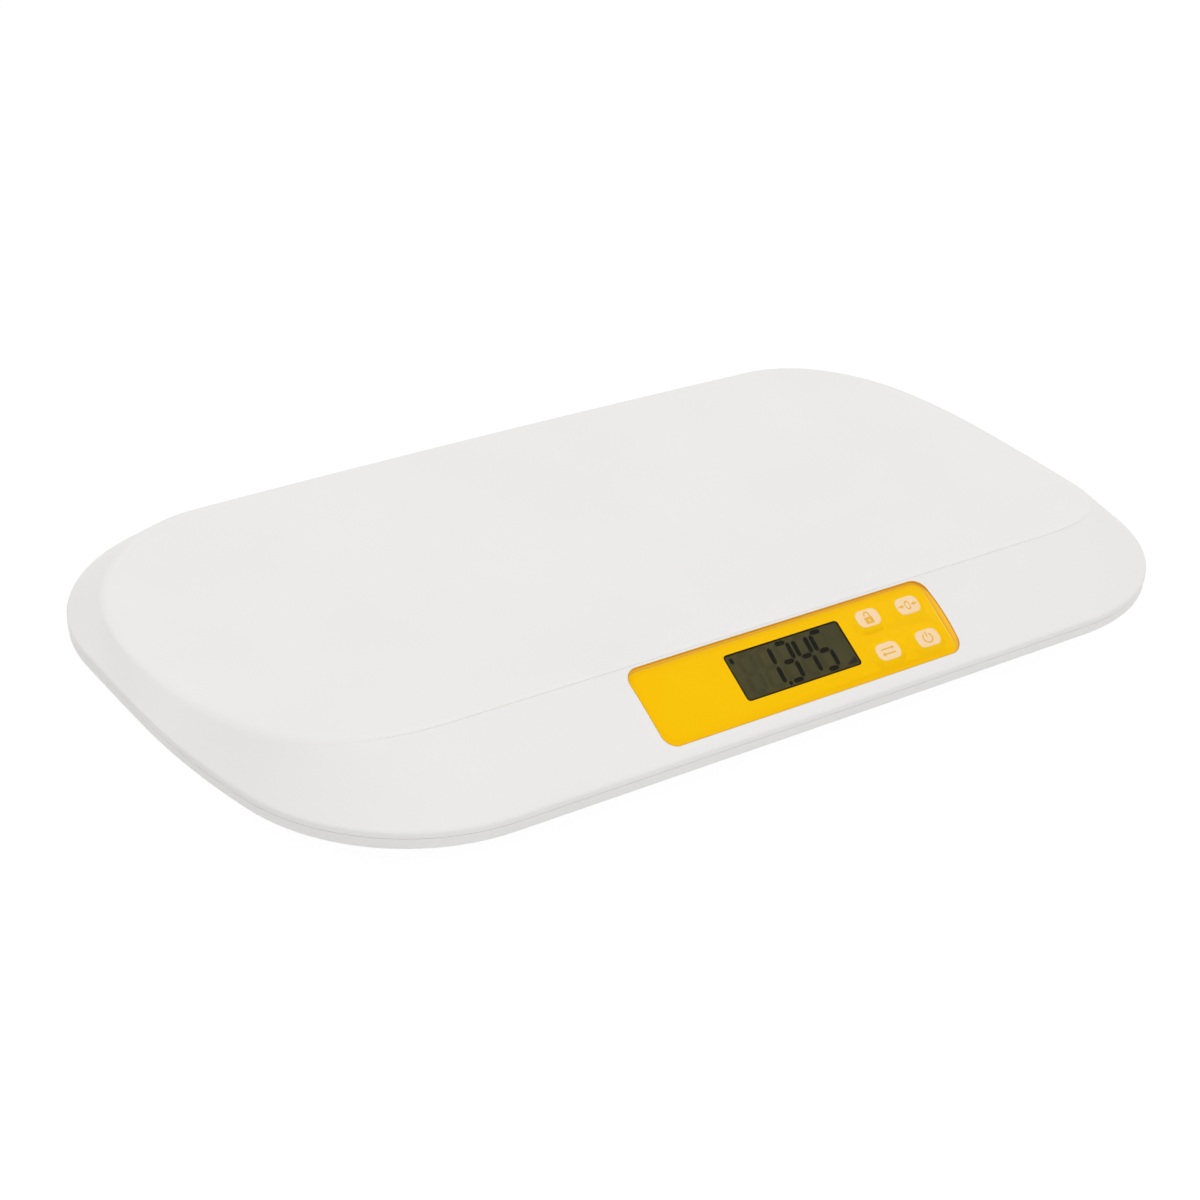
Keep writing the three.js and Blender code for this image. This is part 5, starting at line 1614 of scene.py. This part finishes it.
@dataclass
class Batteries:
    """Three cells in the bay: a sleeve shrunk over a steel can, with the can's ends bare.

    The profiles are (radius, height).
    """

    shift: float = 2.15
    first_y: float = 28.8
    pitch: float = 11.2
    axis_z: float = 13.95
    can: Table = ((4.0, -21.75), (4.5, -21.65), (4.8, -21.2), (4.8, 21.0), (4.5, 21.45), (2.9, 21.5),
                  (2.6, 21.8), (2.6, 22.5), (2.3, 22.75))
    sleeve: Table = ((4.9, -21.0), (4.7, -21.6), (4.6, -21.75), (5.0, -21.7), (5.25, -21.3), (5.25, 21.3),
                     (5.0, 21.7), (4.6, 21.75), (4.7, 21.6), (4.9, 21.0))

    def lying(self, mesh: Mesh, side: int, y: float) -> Mesh:
        """Lays a cell along x with its nub to one side: (x, y, z) becomes (side z, y, side x).

        Args:
            mesh: the cell standing at the origin.
            side: 1 where the nub points right, else -1.
            y: its axis's place across the bay.

        Returns:
            The mesh in its place.
        """
        x, across, z = mesh[0].T
        laid = np.column_stack([side * z, across, side * x])
        return moved((laid, mesh[1]), side * self.shift, y, self.axis_z)

    def build(self) -> None:
        """Builds and dresses the cans and their sleeves."""
        for index, side in enumerate((1, -1, 1)):
            y, number = self.first_y + index * self.pitch, index + 1
            dress(self.lying(turned(self.can), side, y), f"battery_can_{number}", ZINC_PLATE, Slot.WRAP,
                  f"battery_{number}")
            dress(self.lying(turned(self.sleeve, cap=Cap.RING), side, y), f"battery_sleeve_{number}",
                  CELL_FILM, Slot.WRAP)


@dataclass
class BatteryDoor:
    """The battery door in the CAD's own shape, with the rounded edges of a moulded part."""

    soft: float = 0.22
    merge: float = 0.001
    flat_degrees: float = 1.0
    bevel_degrees: float = 40.0
    smooth_degrees: float = 50.0

    def build(self) -> None:
        """Copies the door, merges its points, rounds its edges and dresses it."""
        data = frame["nodes"]["battery_door"].data.copy()
        work = bmesh.new()
        work.from_mesh(data)
        bmesh.ops.remove_doubles(work, verts=work.verts, dist=self.merge * MM)
        bmesh.ops.dissolve_limit(work, angle_limit=math.radians(self.flat_degrees), verts=work.verts,
                                 edges=work.edges)
        work.to_mesh(data)
        work.free()
        door = put(data)
        change = door.modifiers.new("soft", "BEVEL")
        change.limit_method, change.angle_limit = "ANGLE", math.radians(self.bevel_degrees)
        change.width, change.segments = self.soft * MM, 2
        bake(door)
        dress(door, "battery_door_moulding", WHITE_ABS_BELOW, Slot.SHELL, "battery_door", "battery_door",
              self.smooth_degrees)


@dataclass
class InnerParts:
    """CAD nodes whose shape stays: they get the material of their slot."""

    def build(self) -> None:
        """Gives every node that still shows the material of its slot."""
        slots = {part["node"]: Slot(part["material_slot"]) for part in frame["record"]["subparts"]}
        for name, node in frame["nodes"].items():
            if not node.hide_render:
                finish = SLOT_FINISH[slots[name]]
                node.data.materials.clear()
                node.data.materials.append(finish.material())
                LOG.info("%s keeps its shape: %s", name, finish.name)


# ---------------------------------------------------------------- studio


@dataclass
class Studio:
    """Plain pale floor, even soft light and the photograph's camera. The lamp's sizes are in metres."""

    azimuth: float = -0.624
    elevation: float = 0.502
    distance: float = 1248.9
    roll: float = 0.046
    target: tuple[float, float, float] = (-28.92, -17.93, 24.0)
    lens: float = 73.88
    sensor: float = 36.0
    light_level: float = 0.6
    light_above: float = 1.05
    light_lost_at_ends: float = 0.42
    floor_half: float = 6000.0
    floor_thickness: float = 20.0
    lamp_place: tuple[float, float, float] = (-0.2, -0.6, 2.6)
    lamp_side: float = 3.0
    lamp_power: float = 18.9

    def camera(self) -> None:
        """Sets the camera on its sphere round the target: back = (sin a cos e, -cos a cos e, sin e)."""
        cos_e, sin_e = math.cos(self.elevation), math.sin(self.elevation)
        cos_a, sin_a = math.cos(self.azimuth), math.sin(self.azimuth)
        back, right = Vector((sin_a * cos_e, -cos_a * cos_e, sin_e)), Vector((cos_a, sin_a, 0.0))
        up = back.cross(right)
        cos_r, sin_r = math.cos(self.roll), math.sin(self.roll)
        right, up = cos_r * right + sin_r * up, cos_r * up - sin_r * right
        lens = bpy.data.cameras.new("camera")
        lens.lens, lens.sensor_width, lens.sensor_fit = self.lens, self.sensor, "HORIZONTAL"
        lens.clip_start, lens.clip_end = 0.05, 50.0
        place = Matrix((right, up, back)).transposed().to_4x4()
        place.translation = (Vector(self.target) + self.distance * back) * MM
        bpy.context.scene.camera = put(lens)
        bpy.context.scene.camera.matrix_world = place

    def world(self) -> None:
        """Even white surroundings, pure white where they are seen.

        As light their strength is level + (above - level) z - lost x^2, by the direction's x and z:
        a little stronger from above and weaker from the two ends.
        """
        world = bpy.data.worlds.new("studio_world")
        bpy.context.scene.world = world
        world.use_nodes = True
        tree = world.node_tree
        tree.nodes.clear()
        way = add_node(tree, "ShaderNodeTexCoord", output="Generated")
        way = add_node(tree, "ShaderNodeSeparateXYZ", {"Vector": way}).node.outputs
        above = ranged(tree, way["Z"], self.light_level, self.light_above)
        square = worked(tree, "MULTIPLY", way["X"], way["X"])
        strength = worked(tree, "MULTIPLY_ADD", square, -self.light_lost_at_ends, above)
        light = add_node(tree, "ShaderNodeBackground", {"Strength": strength}, Color=WHITE_LIGHT)
        white = add_node(tree, "ShaderNodeBackground", Color=WHITE_LIGHT, Strength=1.0)
        add_node(tree, "ShaderNodeOutputWorld", {"Surface": mixed(tree, seen(tree), light, white)})

    def floor(self) -> None:
        """A wide floor with its top at height 0."""
        half = self.floor_half
        floor = link("studio_floor", block(-half, half, -half, half, -self.floor_thickness, 0.0))
        floor.data.materials.append(FloorPaint().material())

    def lamp(self) -> None:
        """A square soft lamp that faces the scale."""
        light = bpy.data.lights.new("soft_key", "AREA")
        light.size, light.energy = self.lamp_side, self.lamp_power
        lamp = put(light)
        lamp.location = self.lamp_place
        lamp.rotation_euler = Vector(self.lamp_place).to_track_quat("Z", "Y").to_euler()

    def build(self) -> None:
        """Sets the camera, the surroundings and the lamp."""
        self.camera()
        self.world()
        self.floor()
        self.lamp()
        bpy.context.scene.view_settings.view_transform = "Standard"


def main() -> None:
    """Builds the scene in order."""
    logging.basicConfig(level=logging.INFO, format="%(name)s %(message)s")
    housing, slope, panel = Housing(), Slope(), Panel()
    Studio().build()
    for part in (TopShell(housing, slope, panel), BaseShell(housing, BatteryBay()), FrontPanel(slope, panel),
                 DisplayCell(slope, panel), Keypad(slope, panel), Feet(housing),
                 Screws(housing, slope, panel), Batteries(), BatteryDoor(), InnerParts()):
        part.build()
        LOG.info("%s done", type(part).__name__)


if __name__ == "__main__":
    main()
